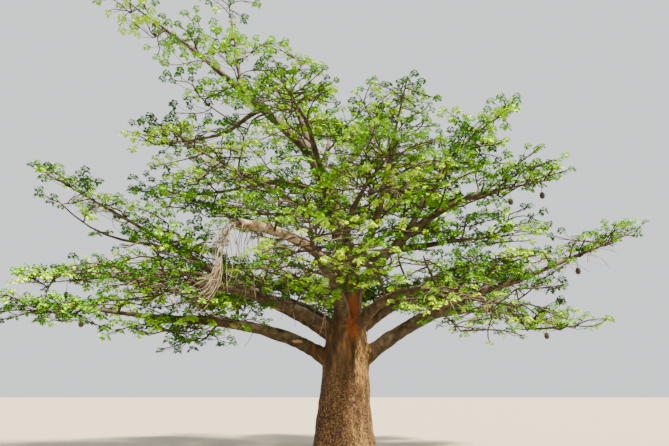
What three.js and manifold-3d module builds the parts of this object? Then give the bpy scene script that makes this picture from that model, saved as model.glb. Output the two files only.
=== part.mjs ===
// A wide old baobab in full leaf: a stout trunk, a leader, boughs that spread low and flat,
// and a mass of twigs and leaf sprays on the end of each bough.
// Millimetres and degrees, +Z up. The origin is on the ground, in the middle of the trunk's foot.
// A heading is counted from +X, the tree's right seen from the front, towards +Y, its back.
import * as THREE from "three";
import { mergeVertices } from "three/addons/utils/BufferGeometryUtils.js";
import Module from "manifold-3d";

// The trunk's height, how far its top stands to the right of its foot, and its rings' crowding at the foot
const TRUNK = { height: 4150, lean: 150, sides: 18, steps: 11, crowding: 1.15 };
const TRUNK_TAPER = [
  // height, radius
  [0, 800],
  [600, 775],
  [1300, 735],
  [1850, 690],
  [2500, 650],
  [3100, 610],
  [3500, 535],
  [3850, 430],
  [4150, 372],
];
// The root flare's reach at the ground, the height it fades over, and its ribs
const FLARE = { reach: 150, fade: 420, ribs: 5, depth: 0.45 };
// Shallow waves round the whole trunk
const FLUTES = { count: 3, depth: 16, turn: 1 };

// Every limb is one tapering curve, from a point on its parent's middle line to its own tip.
const LIMBS = [
  // name, parent, height on the trunk or share of the parent's length,
  // heading, reach and height of the tip, slopes at root and tip, sideways bow, radii at root and tip
  ["leader", "trunk", 3900, 154, 1150, 9200, [95, 62], 0, [385, 185]],
  ["low_left", "trunk", 2150, 190.5, 4300, 3620, [46, 2], 0, [225, 120]],
  ["left_high", "trunk", 3000, 168, 4500, 5550, [36, 32], 4, [215, 115]],
  ["left_far", "left_high", 0.66, 176, 4900, 5150, [20, 2], 10, [105, 80]],
  ["front_left", "trunk", 2950, 222, 3500, 4150, [42, 4], -8, [200, 110]],
  ["broken", "leader", 0.13, 230, 4000, 5760, [42, -4], 6, [165, 115]],
  ["front", "trunk", 3200, 262, 3000, 4500, [45, 8], 6, [190, 105]],
  ["front_right", "trunk", 3000, 306, 3100, 4150, [42, -4], -6, [200, 100]],
  ["low_right", "trunk", 2150, 349, 4400, 4500, [44, 18], 0, [240, 120]],
  ["under_right", "low_right", 0.6, 3, 4700, 3980, [6, -10], 12, [95, 70]],
  ["right_mid", "trunk", 3100, 24, 3500, 4950, [40, 16], 0, [190, 105]],
  ["right_up", "leader", 0.05, 343, 3500, 6980, [56, 20], 4, [175, 88]],
  ["right_side", "right_up", 0.62, 354, 3050, 8150, [72, 64], 0, [95, 68]],
  ["right_upright", "leader", 0.16, 298, 2500, 7300, [32, 70], 0, [130, 85]],
  ["left_lateral", "leader", 0.7, 168, 2700, 8100, [14, -12], 4, [115, 80]],
  ["top_left", "leader", 1, 180, 4100, 11900, [42, 42], 4, [165, 95]],
  ["top_left_side", "top_left", 0.5, 172, 3900, 9880, [-4, -14], 0, [80, 60]],
  ["top_left_up", "top_left", 0.72, 174, 3550, 12500, [80, 80], 0, [75, 60]],
  ["top_middle", "leader", 0.97, 146, 2000, 11300, [72, 60], 0, [120, 85]],
  ["top_right", "leader", 0.72, 28, 1000, 9700, [62, 58], 0, [115, 80]],
  ["top_back", "leader", 0.82, 100, 2600, 10300, [45, 42], 0, [115, 80]],
  ["top_front", "leader", 0.66, 248, 2300, 8500, [40, 38], 0, [115, 80]],
  ["back_right", "trunk", 3300, 54, 3600, 4700, [42, 8], 6, [190, 105]],
  ["back", "trunk", 3200, 92, 3600, 4900, [42, 10], -6, [190, 105]],
  ["back_left", "trunk", 3100, 130, 3700, 4750, [42, 8], 6, [190, 105]],
  ["back_right_mid", "leader", 0.42, 58, 3000, 7900, [48, 26], 6, [125, 85]],
  ["right_back", "leader", 0.24, 16, 3300, 6250, [34, 14], -6, [130, 85]],
  ["back_left_mid", "leader", 0.55, 128, 3000, 7600, [38, 18], -6, [125, 85]],
  ["front_left_mid", "leader", 0.4, 226, 2700, 7000, [45, 14], 6, [120, 80]],
  ["front_mid", "leader", 0.3, 276, 2800, 6300, [45, 12], -6, [120, 80]],
];
const LIMB = { sides: 7, steps: 5 };
// A limb is thicker by this share at its root, fading over this share of its length, up to the most
// that its radius may be, which keeps the leader's foot within the trunk's girth
const COLLAR = { swell: 0.45, fade: 0.09, most: 445 };
const GAP = 0.3; // between two pieces that touch on the tree

// Every mass grows from a limb's tip in a space of its own, an egg laid along a heading and a rise.
const MASSES = [
  // limb, heading, rise, length, width, height
  ["low_left", 187, 6, 7000, 4400, 2100],
  ["left_high", 180, 30, 8200, 3100, 2300],
  ["left_far", 185, -5, 6200, 3000, 1600],
  ["front_left", 216, 0, 5300, 4200, 2300],
  ["broken", 222, -55, 2600, 1900, 1900],
  ["front", 264, 3, 5200, 4400, 2200],
  ["front_right", 310, -14, 4800, 3600, 2400],
  ["low_right", 352, 21, 5700, 3000, 1900],
  ["under_right", 2, -12, 3900, 3200, 1800],
  ["right_mid", 20, 20, 5200, 4000, 3000],
  ["right_up", 347, 11, 4200, 3400, 2200],
  ["right_side", 5, 46, 4000, 3600, 2800],
  ["right_upright", 300, 66, 3600, 2800, 2700],
  ["left_lateral", 170, -5, 5400, 4000, 2900],
  ["top_left", 184, 38, 5900, 3300, 2900],
  ["top_left_side", 178, -10, 4000, 3000, 2200],
  ["top_left_up", 150, 78, 3500, 3000, 2600],
  ["top_middle", 130, 60, 3600, 3800, 2800],
  ["top_right", 25, 50, 3500, 4000, 3000],
  ["top_back", 95, 40, 4300, 4200, 2800],
  ["top_front", 255, 10, 3900, 3800, 2500],
  ["back_right", 54, 4, 5600, 4600, 2500],
  ["back", 92, 4, 5600, 4600, 2500],
  ["back_left", 132, 4, 5600, 4600, 2500],
  ["back_right_mid", 50, 18, 5000, 4200, 2800],
  ["right_back", 14, 9, 4800, 3800, 2700],
  ["back_left_mid", 138, 12, 5000, 4200, 2800],
  ["front_left_mid", 230, 8, 5000, 4000, 2400],
  ["front_mid", 285, 8, 4800, 4000, 2400],
];
const DEAD = ["broken"]; // masses of bare twigs
const FRUITING = ["right_up", "top_left", "low_left", "low_right", "back_right", "back_left"];
const EGG_MIDDLE = 0.38; // from the limb's tip to the egg's middle, as a share of its length

// A spray of leaves is a kite with a low peak over its widest place, at a share of its length.
// Its root is sunk past the twig's middle line.
const SPRAY = { length: 1400, width: 1000, peak: 330, widest: 0.55, sunk: 4 };
const FLATNESS = 0.2; // a spray's upward reach, as a share of its length
const SPRAY_SIZES = [1, 0.8, 0.6]; // the first of these that fits is taken
const SPRAYS_ON_TWIG = [
  // share of the twig, turn from its heading, droop, roll
  [0.98, 0, 14, 24],
  [0.84, 85, 28, -30],
  [0.7, -85, 28, 30],
];
const STEM = { sides: 4, steps: 4, tip: 38 };
const TWIG = { count: 5, sides: 3, share: 0.45, tip: 20, inner: 0.65 };
const BUDS = [0.2, 0.4, 0.6, 0.8, 0.95]; // shares of a stem or twig that a new twig may leave from
const GOLDEN_ANGLE = 137.508;
const CLEARANCE = 25; // between a mass and any wood but its own
const FRUIT = { length: 210, width: 150, stalk: 330, thick: 11, at: 0.6 };

const BARK = { color: 0x7d6a55, roughness: 0.9, metalness: 0 };
const DEAD_WOOD = { color: 0x9a8b76, roughness: 0.9, metalness: 0 };
const LEAVES = { color: 0x5f9a1e, roughness: 0.6, metalness: 0 };

const wasm = await Module();
wasm.setup();
const { Manifold } = wasm;
const { degToRad, radToDeg, lerp } = THREE.MathUtils;

// The unit vector of a heading and a rise.
function direction(heading, rise) {
  const flat = Math.cos(degToRad(rise));
  return new THREE.Vector3(
    flat * Math.cos(degToRad(heading)),
    flat * Math.sin(degToRad(heading)),
    Math.sin(degToRad(rise)),
  );
}

function headingOf(way) {
  return radToDeg(Math.atan2(way.y, way.x));
}

// The radius at a height, from rows of height and radius with straight lines between them.
function radiusFrom(taper, height) {
  const next = Math.max(1, taper.findIndex(([at]) => at >= height));
  const [[at0, radius0], [at1, radius1]] = [taper[next - 1], taper[next]];
  return lerp(radius0, radius1, (height - at0) / (at1 - at0));
}

// A closed geometry as a solid: only its positions are kept, and equal ones are merged.
function solidOf(geometry) {
  geometry.deleteAttribute("normal");
  geometry.deleteAttribute("uv");
  const merged = mergeVertices(geometry, 1e-3);
  return new Manifold(
    new wasm.Mesh({
      numProp: 3,
      vertProperties: merged.attributes.position.array,
      triVerts: new Uint32Array(merged.index.array),
    }),
  );
}

function geometryOf(solid) {
  const { numProp, vertProperties, triVerts } = solid.getMesh();
  const geometry = new THREE.BufferGeometry();
  geometry.setAttribute("position", new THREE.BufferAttribute(vertProperties, numProp));
  geometry.setIndex(new THREE.BufferAttribute(triVerts, 1));
  geometry.computeVertexNormals();
  return geometry;
}

// The largest of a solid's separate bodies, so that loose scraps and sealed hollows are dropped.
function largestBody(solid) {
  return solid.decompose().reduce((a, b) => (b.volume() > a.volume() ? b : a));
}

// A unit cylinder with each vertex put in place by a rule of the share along it, the angle round it
// and how far out it lies, 0 to 1.
function bentCylinder(sides, steps, place) {
  const geometry = new THREE.CylinderGeometry(1, 1, 1, sides, steps);
  const position = geometry.attributes.position;
  for (let i = 0; i < position.count; i++) {
    const [x, y, z] = [position.getX(i), position.getY(i), position.getZ(i)];
    const point = place(y + 0.5, Math.atan2(-z, x), Math.hypot(x, z));
    position.setXYZ(i, point.x, point.y, point.z);
  }
  return geometry;
}

// A round section carried along a curve, with its radius a rule of the share along it.
// grow thickens it on all sides and at both ends.
function taperedTube(curve, sides, steps, radiusAt, grow = 0) {
  const { tangents, normals, binormals } = curve.computeFrenetFrames(steps);
  return bentCylinder(sides, steps, (share, angle, out) => {
    const ring = Math.round(share * steps);
    const radius = out * (radiusAt(share) + grow);
    const past = share === 1 ? grow : share === 0 ? -grow : 0;
    return curve
      .getPointAt(share)
      .addScaledVector(tangents[ring], past)
      .addScaledVector(normals[ring], radius * Math.cos(angle))
      .addScaledVector(binormals[ring], radius * Math.sin(angle));
  });
}

// The curve between two points that leaves and arrives along the given unit vectors.
function arc(start, leaving, end, arriving) {
  const pull = start.distanceTo(end) / 3;
  const after = start.clone().addScaledVector(leaving, pull);
  const before = end.clone().addScaledVector(arriving, -pull);
  return new THREE.CubicBezierCurve3(start, after, before, end);
}

function leanAt(height) {
  return (TRUNK.lean * height) / TRUNK.height;
}

// The trunk with its taper, lean, ribbed root flare and flutes. Its rings stand closer near the ground.
function trunkSolid(grow = 0) {
  const geometry = bentCylinder(TRUNK.sides, TRUNK.steps, (share, angle, out) => {
    const height = TRUNK.height * share ** TRUNK.crowding;
    const ribs = 1 + FLARE.depth * Math.cos(FLARE.ribs * angle);
    const flare = FLARE.reach * ribs * Math.exp(-height / FLARE.fade);
    const flutes = FLUTES.depth * Math.cos(FLUTES.count * angle + FLUTES.turn);
    const radius = out * (radiusFrom(TRUNK_TAPER, height) + flare + flutes + grow);
    const x = leanAt(height) + radius * Math.cos(angle);
    return new THREE.Vector3(x, radius * Math.sin(angle), share === 1 ? height + grow : height);
  });
  return solidOf(geometry);
}

// Works out each limb's middle line and its radius along it. A parent stands above its limbs in the table.
function layLimbs() {
  const laid = new Map();
  for (const [name, parent, at, heading, reach, height, rises, bow, radii] of LIMBS) {
    const start =
      parent === "trunk"
        ? new THREE.Vector3(leanAt(at), 0, at)
        : laid.get(parent).curve.getPointAt(at);
    const end = direction(heading, 0).multiplyScalar(reach).setZ(height);
    const towards = headingOf(end.clone().sub(start));
    const leaving = direction(towards + bow, rises[0]);
    const arriving = direction(towards - bow, rises[1]);
    const curve = arc(start, leaving, end, arriving);
    const radiusAt = (share) =>
      Math.min(COLLAR.most, lerp(...radii, share) * (1 + COLLAR.swell * Math.exp(-share / COLLAR.fade)));
    laid.set(name, { curve, radiusAt, tipRadius: radii[1] });
  }
  return laid;
}

function limbSolid({ curve, radiusAt }, grow = 0) {
  return solidOf(taperedTube(curve, LIMB.sides, LIMB.steps, radiusAt, grow));
}

// How far a spray, which lies nearly flat, reaches past its twig along an axis.
function sprayReach(axis) {
  return SPRAY.length * lerp(1, FLATNESS, Math.abs(axis.z));
}

// Works out each mass's egg, and its stem, which runs from the limb's tip to a spray short of the far end.
function laySpaces(limbs) {
  return MASSES.map(([name, heading, rise, length, width, height], index) => {
    const { curve, tipRadius } = limbs.get(name);
    const axis = direction(heading, rise);
    const side = direction(heading + 90, 0);
    const tip = curve.getPointAt(1);
    const leaving = curve.getTangentAt(1);
    const reach = length * (EGG_MIDDLE + 0.5) - sprayReach(axis);
    const stem = arc(
      tip.clone().addScaledVector(leaving, GAP),
      leaving,
      tip.clone().addScaledVector(axis, reach),
      axis,
    );
    return {
      name,
      index,
      axes: [axis, side, axis.clone().cross(side)],
      halves: [length / 2, width / 2, height / 2],
      middle: tip.clone().addScaledVector(axis, EGG_MIDDLE * length),
      stem,
      stemRadius: (share) => lerp(tipRadius, STEM.tip, share),
    };
  });
}

function stemSolid({ stem, stemRadius }, grow = 0) {
  return solidOf(taperedTube(stem, STEM.sides, STEM.steps, stemRadius, grow));
}

// How far out in an egg a point lies: 0 in its middle and 1 on its surface.
function depthIn(space, point) {
  const from = point.clone().sub(space.middle);
  return Math.hypot(...space.axes.map((axis, k) => from.dot(axis) / space.halves[k]));
}

// A mass owns the points of its egg that lie deeper in it than in any other egg.
function owns(space, point, spaces) {
  const own = depthIn(space, point);
  return own < 1 && spaces.every((other) => other === space || depthIn(other, point) > own);
}

// The points that a mass's twigs grow to, on a golden-angle spiral round the egg's middle,
// by turns near its surface and further in, and short of the surface by the sprays' reach.
function twigEnds(space) {
  const ends = [];
  for (let n = 0; n < TWIG.count; n++) {
    const up = 1 - (2 * n + 1) / TWIG.count;
    const flat = Math.sqrt(1 - up * up);
    const turn = degToRad(GOLDEN_ANGLE * (n + space.index));
    const out = n % 2 ? TWIG.inner : 1;
    const end = space.middle.clone();
    [flat * Math.cos(turn), flat * Math.sin(turn), up].forEach((share, k) =>
      end.addScaledVector(space.axes[k], out * share * (space.halves[k] - sprayReach(space.axes[k]))),
    );
    ends.push(end);
  }
  const root = space.stem.getPointAt(0);
  return ends.sort((a, b) => a.distanceTo(root) - b.distanceTo(root));
}

// A blade whose root is at a point, turned to a heading, drooping, and rolled about its own length.
function sprayBlade(at, size, heading, droop, roll) {
  const blade = new THREE.OctahedronGeometry(1);
  const position = blade.attributes.position;
  for (let i = 0; i < position.count; i++) {
    const [x, y, z] = [position.getX(i), position.getY(i), position.getZ(i)];
    const along = Math.abs(x) < 0.5 ? SPRAY.widest : (x + 1) / 2;
    position.setXYZ(i, along * SPRAY.length, (y * SPRAY.width) / 2, Math.max(0, z) * SPRAY.peak);
  }
  blade.scale(size, size, size);
  blade.translate(-SPRAY.sunk, 0, 0);
  const turn = new THREE.Euler(degToRad(roll), degToRad(droop), degToRad(heading), "ZYX");
  blade.applyMatrix4(new THREE.Matrix4().makeRotationFromEuler(turn).setPosition(at));
  return solidOf(blade);
}

// A pod on its stalk, hanging from a point.
function hangingFruit(at) {
  const down = new THREE.Vector3(0, 0, -1);
  const end = at.clone().addScaledVector(down, FRUIT.stalk);
  const stalk = taperedTube(new THREE.LineCurve3(at, end), 3, 1, () => FRUIT.thick);
  const pod = new THREE.OctahedronGeometry(1, 1);
  pod.scale(FRUIT.width / 2, FRUIT.width / 2, FRUIT.length / 2);
  pod.translate(end.x, end.y, end.z - FRUIT.length / 2 + FRUIT.thick);
  return solidOf(stalk).add(solidOf(pod));
}

function vertices(solid) {
  const { numProp, vertProperties } = solid.getMesh();
  const points = [];
  for (let i = 0; i < vertProperties.length; i += numProp) {
    points.push(new THREE.Vector3(...vertProperties.slice(i, i + 3)));
  }
  return points;
}

// Grows one mass. Each twig leaves the bud that lies nearest to its end and points that way,
// and bears its sprays. What would leave the mass's own space, or touch other wood or a spray, is skipped.
function growMass(space, spaces, obstacles) {
  const wood = [stemSolid(space)];
  const sprays = [];
  const buds = [];
  const leafy = !DEAD.includes(space.name);
  const addIfItFits = (solid, kind) => {
    const fits =
      vertices(solid).every((point) => owns(space, point, spaces)) &&
      [obstacles, ...sprays].every((other) => solid.intersect(other).isEmpty());
    if (fits) kind.push(solid);
    return fits;
  };
  const addBuds = (curve, radiusAt) =>
    BUDS.forEach((share) =>
      buds.push({
        point: curve.getPointAt(share),
        going: curve.getTangentAt(share),
        radius: radiusAt(share),
      }),
    );
  const addSprays = (curve) => {
    const heading = headingOf(curve.getTangentAt(1));
    for (const [share, turn, droop, roll] of SPRAYS_ON_TWIG) {
      const at = curve.getPointAt(share);
      SPRAY_SIZES.some((size) =>
        addIfItFits(sprayBlade(at, size, heading + turn, droop, roll), sprays),
      );
    }
  };
  addBuds(space.stem, space.stemRadius);
  if (leafy) addSprays(space.stem);
  for (const end of twigEnds(space)) {
    const cost = ({ point, going }) => {
      const way = end.clone().sub(point);
      return way.length() * (1.6 - 0.6 * way.normalize().dot(going));
    };
    const bud = buds.reduce((a, b) => (cost(b) < cost(a) ? b : a));
    const twig = new THREE.LineCurve3(bud.point, end);
    const root = Math.max(bud.radius * TWIG.share, TWIG.tip);
    const radiusAt = (share) => lerp(root, TWIG.tip, share);
    if (!addIfItFits(solidOf(taperedTube(twig, TWIG.sides, 1, radiusAt)), wood)) continue;
    addBuds(twig, radiusAt);
    if (leafy) addSprays(twig);
  }
  if (FRUITING.includes(space.name)) addIfItFits(hangingFruit(space.stem.getPointAt(FRUIT.at)), wood);
  return largestBody(Manifold.union([...wood, ...sprays]));
}

// Each limb is cut clear of the wood above it in the table, which it grows from.
function growLimbs(limbs) {
  const grown = new Map();
  let before = trunkSolid(GAP);
  for (const [name, limb] of limbs) {
    grown.set(name, largestBody(limbSolid(limb).subtract(before)));
    before = before.add(limbSolid(limb, GAP));
  }
  return grown;
}

function growMasses(spaces, limbs) {
  const wood = [trunkSolid(CLEARANCE), ...[...limbs.values()].map((limb) => limbSolid(limb, CLEARANCE))];
  const grown = new Map();
  for (const space of spaces) {
    const others = spaces.filter((other) => other !== space);
    const stems = others.map((other) => stemSolid(other, CLEARANCE));
    const obstacles = Manifold.union([...wood, ...stems, ...grown.values()]);
    grown.set(space.name, growMass(space, spaces, obstacles));
  }
  return grown;
}

const tree = new THREE.Group();

function addNode(name, solid, look) {
  const mesh = new THREE.Mesh(geometryOf(solid), new THREE.MeshStandardMaterial(look));
  mesh.name = name;
  tree.add(mesh);
}

const limbs = layLimbs();
const spaces = laySpaces(limbs);
addNode("trunk", trunkSolid(), BARK);
for (const [name, solid] of growLimbs(limbs)) {
  addNode(name === "leader" ? name : "bough_" + name, solid, BARK);
}
for (const [name, solid] of growMasses(spaces, limbs)) {
  const dead = DEAD.includes(name);
  addNode((dead ? "twigs_" : "foliage_") + name, solid, dead ? DEAD_WOOD : LEAVES);
}

export default tree;
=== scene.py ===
# %% [markdown]
# An old baobab in full leaf: a stout flared trunk, low boughs that spread almost level, a leader that
# leans to the left, and an open crown of umbrella-like leaf sprays. The lesson builds it from the same
# few tables as the solid model, so every limb lies where the solid one does, and then carries the
# growth on to finer twigs, leaves and pods. The first cell loads the solid model as a frame.

from functools import partial
from types import SimpleNamespace

import bpy
import numpy as np
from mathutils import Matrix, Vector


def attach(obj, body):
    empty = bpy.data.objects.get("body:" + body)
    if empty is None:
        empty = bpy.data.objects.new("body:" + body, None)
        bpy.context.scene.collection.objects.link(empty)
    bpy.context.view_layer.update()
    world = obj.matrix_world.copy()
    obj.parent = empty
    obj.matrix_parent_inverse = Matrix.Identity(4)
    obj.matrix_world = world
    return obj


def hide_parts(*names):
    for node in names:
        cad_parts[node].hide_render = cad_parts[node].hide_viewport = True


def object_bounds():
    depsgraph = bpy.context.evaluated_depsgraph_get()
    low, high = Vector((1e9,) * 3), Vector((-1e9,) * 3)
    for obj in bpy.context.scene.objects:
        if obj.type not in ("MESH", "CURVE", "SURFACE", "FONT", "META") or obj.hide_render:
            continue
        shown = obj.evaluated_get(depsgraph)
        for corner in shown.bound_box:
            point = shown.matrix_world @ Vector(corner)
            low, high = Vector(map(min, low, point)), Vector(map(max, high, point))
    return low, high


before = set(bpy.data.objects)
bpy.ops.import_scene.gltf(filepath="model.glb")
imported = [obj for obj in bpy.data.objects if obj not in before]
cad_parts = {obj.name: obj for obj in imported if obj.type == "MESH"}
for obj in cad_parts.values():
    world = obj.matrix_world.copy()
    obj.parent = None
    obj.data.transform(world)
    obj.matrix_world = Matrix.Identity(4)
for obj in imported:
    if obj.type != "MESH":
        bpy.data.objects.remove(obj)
cad_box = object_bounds()
rng = np.random.default_rng(11)
print("solid model:", np.array(cad_box).round(2).tolist())

# %% [markdown]
# The camera comes first, because everything is judged through it. The picture was taken from about
# seventeen metres away, at the eye height of someone standing, with the camera tipped up to take in
# the crown. A longer lens from further back would flatten the crown, so the place matters as much as
# the angle. A 32 mm lens on a 36 mm sensor gives the same spread of view.

# %% Camera
EYE, TILT = (-0.23, -17.6, 1.6), 16.0  # metres, and degrees above level
LENS, SENSOR = 32.29, 36.0


def add_object(name, data):
    thing = bpy.data.objects.new(name, data)
    bpy.context.scene.collection.objects.link(thing)
    return thing


def add_camera():
    """A camera at eye height that looks along +Y and is tipped up by TILT."""
    data = bpy.data.cameras.new("eye_height_camera")
    data.lens, data.sensor_width = LENS, SENSOR
    camera = add_object("eye_height_camera", data)
    camera.location, camera.rotation_euler = EYE, (np.radians(90 + TILT), 0, 0)
    bpy.context.scene.camera = camera


add_camera()
print("camera at", EYE, "tipped up", TILT, "degrees")

# %% [markdown]
# Every shape below is worked out as whole numpy arrays and handed to Blender in one go. Adding
# vertices one by one would be far too slow for ninety thousand leaves. This helper takes points, quads
# and triangles and makes an object at the origin, so that its place is in its mesh. A second one says
# which nodes of the solid model a piece stands for. The tree has no joints, so it is all one body.

# %% Arrays to a mesh
NO_QUADS, NO_TRIANGLES = np.zeros((0, 4), int), np.zeros((0, 3), int)


def make_piece(name, points, quads, triangles, material, smooth=True):
    """An object from a points array and two arrays of corner numbers, one row for each face."""
    mesh = bpy.data.meshes.new(name)
    corners = np.concatenate([np.ravel(quads), np.ravel(triangles)]).astype(np.int32)
    sizes = np.repeat([4, 3], [len(quads), len(triangles)])
    mesh.vertices.add(len(points))
    mesh.vertices.foreach_set("co", np.asarray(points, np.float32).ravel())
    mesh.loops.add(len(corners))
    mesh.loops.foreach_set("vertex_index", corners)
    mesh.polygons.add(len(sizes))
    mesh.polygons.foreach_set("loop_start", (np.cumsum(sizes) - sizes).astype(np.int32))
    mesh.polygons.foreach_set("use_smooth", np.full(len(sizes), smooth))
    mesh.update(calc_edges=True)
    mesh.validate()
    mesh.materials.append(material)
    print(f"{name}: {2 * len(quads) + len(triangles)} triangles")
    return add_object(name, mesh)


def stand_for(piece, nodes):
    """The piece rides on the tree's one body and replaces these nodes."""
    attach(piece, "root")
    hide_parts(*nodes)


# %% [markdown]
# Colours are written as the hex values that a colour picker shows, and turned to linear light by one
# function. One more small function adds a node, and another sets its values or links its inputs.

# %% Colour and node helpers


def linear(hex_colour):
    """sRGB hex to linear RGBA: c / 12.92 below 0.04045, else ((c + 0.055) / 1.055) to the power 2.4."""
    c = np.array([int(hex_colour[i : i + 2], 16) for i in (1, 3, 5)]) / 255
    return (*np.where(c <= 0.04045, c / 12.92, ((c + 0.055) / 1.055) ** 2.4), 1.0)


def feed(node, inputs):
    """Links each input that is given a socket, and sets any other to its value."""
    for key, value in inputs.items():
        if isinstance(value, bpy.types.NodeSocket):
            node.id_data.links.new(value, node.inputs[key])
        else:
            node.inputs[key].default_value = value


def add_node(tree, kind, inputs, out=0, stops=(), **settings):
    """Adds a node, feeds it and returns one of its outputs. Stops fill a ramp."""
    node = tree.nodes.new("ShaderNode" + kind)
    for key, value in settings.items():
        setattr(node, key, value)
    feed(node, inputs)
    for number, (at, colour) in enumerate(stops):
        elements = node.color_ramp.elements
        element = elements[number] if number < len(elements) else elements.new(1.0)
        element.position, element.color = at, linear(colour)
    return node.outputs[out]


def new_material(name, values):
    """A material, its Principled shader, and add_node for its tree."""
    material = bpy.data.materials.new(name)
    material.use_nodes = True
    shader = material.node_tree.nodes["Principled BSDF"]
    feed(shader, values)
    return material, shader, partial(add_node, material.node_tree)


print("#808080 is", round(float(linear("#808080")[0]), 3), "in linear light")


# %% [markdown]
# ## The limbs
# The trunk, the leader and the boughs come from the solid model's own table: where each one leaves its
# parent, which way its tip lies, how steep it is at both ends, and how thick. A limb is one cubic
# curve. Drawing each bough by hand would take longer and drift away from the solid one.

# %% The tables, in millimetres and degrees
MM = 0.001
TRUNK_HEIGHT, TRUNK_LEAN, RING_CROWDING = 4150, 150, 1.15
TAPER_HEIGHTS = (0, 600, 1300, 1850, 2500, 3100, 3500, 3850, 4150)
TAPER_RADII = (800, 775, 735, 690, 650, 610, 535, 430, 372)
FLARE_REACH, FLARE_FADE, FLARE_RIBS, FLARE_DEPTH = 150, 420, 5, 0.45
LIMBS = [
    # name, parent, height on the trunk or share of the parent's length,
    # heading, reach and height of the tip, slopes at root and tip, sideways bow, radii at root and tip
    ("leader", "trunk", 3900, 154, 1150, 9200, (95, 62), 0, (385, 185)),
    ("low_left", "trunk", 2150, 190.5, 4300, 3620, (46, 2), 0, (225, 120)),
    ("left_high", "trunk", 3000, 168, 4500, 5550, (36, 32), 4, (215, 115)),
    ("left_far", "left_high", 0.66, 176, 4900, 5150, (20, 2), 10, (105, 80)),
    ("front_left", "trunk", 2950, 222, 3500, 4150, (42, 4), -8, (200, 110)),
    ("broken", "leader", 0.13, 230, 4000, 5760, (42, -4), 6, (165, 115)),
    ("front", "trunk", 3200, 262, 3000, 4500, (45, 8), 6, (190, 105)),
    ("front_right", "trunk", 3000, 306, 3100, 4150, (42, -4), -6, (200, 100)),
    ("low_right", "trunk", 2150, 349, 4400, 4500, (44, 18), 0, (240, 120)),
    ("under_right", "low_right", 0.6, 3, 4700, 3980, (6, -10), 12, (95, 70)),
    ("right_mid", "trunk", 3100, 24, 3500, 4950, (40, 16), 0, (190, 105)),
    ("right_up", "leader", 0.05, 343, 3500, 6980, (56, 20), 4, (175, 88)),
    ("right_side", "right_up", 0.62, 354, 3050, 8150, (72, 64), 0, (95, 68)),
    ("right_upright", "leader", 0.16, 298, 2500, 7300, (32, 70), 0, (130, 85)),
    ("left_lateral", "leader", 0.7, 168, 2700, 8100, (14, -12), 4, (115, 80)),
    ("top_left", "leader", 1, 180, 4100, 11900, (42, 42), 4, (165, 95)),
    ("top_left_side", "top_left", 0.5, 172, 3900, 9880, (-4, -14), 0, (80, 60)),
    ("top_left_up", "top_left", 0.72, 174, 3550, 12500, (80, 80), 0, (75, 60)),
    ("top_middle", "leader", 0.97, 146, 2000, 11300, (72, 60), 0, (120, 85)),
    ("top_right", "leader", 0.72, 28, 1000, 9700, (62, 58), 0, (115, 80)),
    ("top_back", "leader", 0.82, 100, 2600, 10300, (45, 42), 0, (115, 80)),
    ("top_front", "leader", 0.66, 248, 2300, 8500, (40, 38), 0, (115, 80)),
    ("back_right", "trunk", 3300, 54, 3600, 4700, (42, 8), 6, (190, 105)),
    ("back", "trunk", 3200, 92, 3600, 4900, (42, 10), -6, (190, 105)),
    ("back_left", "trunk", 3100, 130, 3700, 4750, (42, 8), 6, (190, 105)),
    ("back_right_mid", "leader", 0.42, 58, 3000, 7900, (48, 26), 6, (125, 85)),
    ("right_back", "leader", 0.24, 16, 3300, 6250, (34, 14), -6, (130, 85)),
    ("back_left_mid", "leader", 0.55, 128, 3000, 7600, (38, 18), -6, (125, 85)),
    ("front_left_mid", "leader", 0.4, 226, 2700, 7000, (45, 14), 6, (120, 80)),
    ("front_mid", "leader", 0.3, 276, 2800, 6300, (45, 12), -6, (120, 80)),
]
COLLAR_SWELL, COLLAR_FADE, COLLAR_MOST = 0.45, 0.09, 420
print(len(LIMBS), "limbs besides the trunk")

# %% Curves
UP = np.array([0, 0, 1.0])


def unit(vectors):
    return vectors / np.linalg.norm(vectors, axis=-1, keepdims=True)


def direction(heading, rise):
    """Unit vector: cos(rise) cos(heading), cos(rise) sin(heading), sin(rise)."""
    h, r = np.radians(heading), np.radians(rise)
    return np.stack([np.cos(r) * np.cos(h), np.cos(r) * np.sin(h), np.sin(r) + 0 * h], axis=-1)


def curve(start, leaving, end, arriving, steps):
    """Cubic Bezier curves, one for each row, whose handles lie a third of the way's length along
    the leaving and arriving directions."""
    start, end = np.asarray(start)[..., None, :], np.asarray(end)[..., None, :]
    pull = np.linalg.norm(end - start, axis=-1, keepdims=True) / 3
    after, before = start + pull * leaving[..., None, :], end - pull * arriving[..., None, :]
    t = np.linspace(0, 1, steps + 1)[:, None]
    return (1 - t) ** 3 * start + 3 * (1 - t) ** 2 * t * after + 3 * (1 - t) * t**2 * before + t**3 * end


def crooked(paths, amount):
    """The same paths bent aside by two waves that vanish at both ends, sin(pi t) and sin(2 pi t), each
    times a random vector of up to a given share of the way from end to end."""
    chord = np.linalg.norm(paths[..., -1, :] - paths[..., 0, :], axis=-1)[..., None, None]
    t = np.linspace(0, 1, paths.shape[-2])[:, None]
    for wave in (1, 2):
        aside = rng.uniform(-1, 1, (*paths.shape[:-2], 1, 3))
        paths = paths + chord * amount / wave * aside * np.sin(wave * np.pi * t)
    return paths


def lengths_along(path):
    return np.concatenate([[0], np.cumsum(np.linalg.norm(np.diff(path, axis=0), axis=1))])


def evenly(path, count):
    """The same path through count points at equal distances along it."""
    walked = lengths_along(path)
    wanted = np.linspace(0, walked[-1], count)
    return np.stack([np.interp(wanted, walked, path[:, k]) for k in range(3)], axis=1)


def make_limb(path, radii):
    """A limb with its path, its tangents and its radii, all at equal steps along it."""
    going, length = unit(np.gradient(path, axis=0)), lengths_along(path)[-1]
    return SimpleNamespace(path=path, going=going, radii=radii, length=length)


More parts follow.
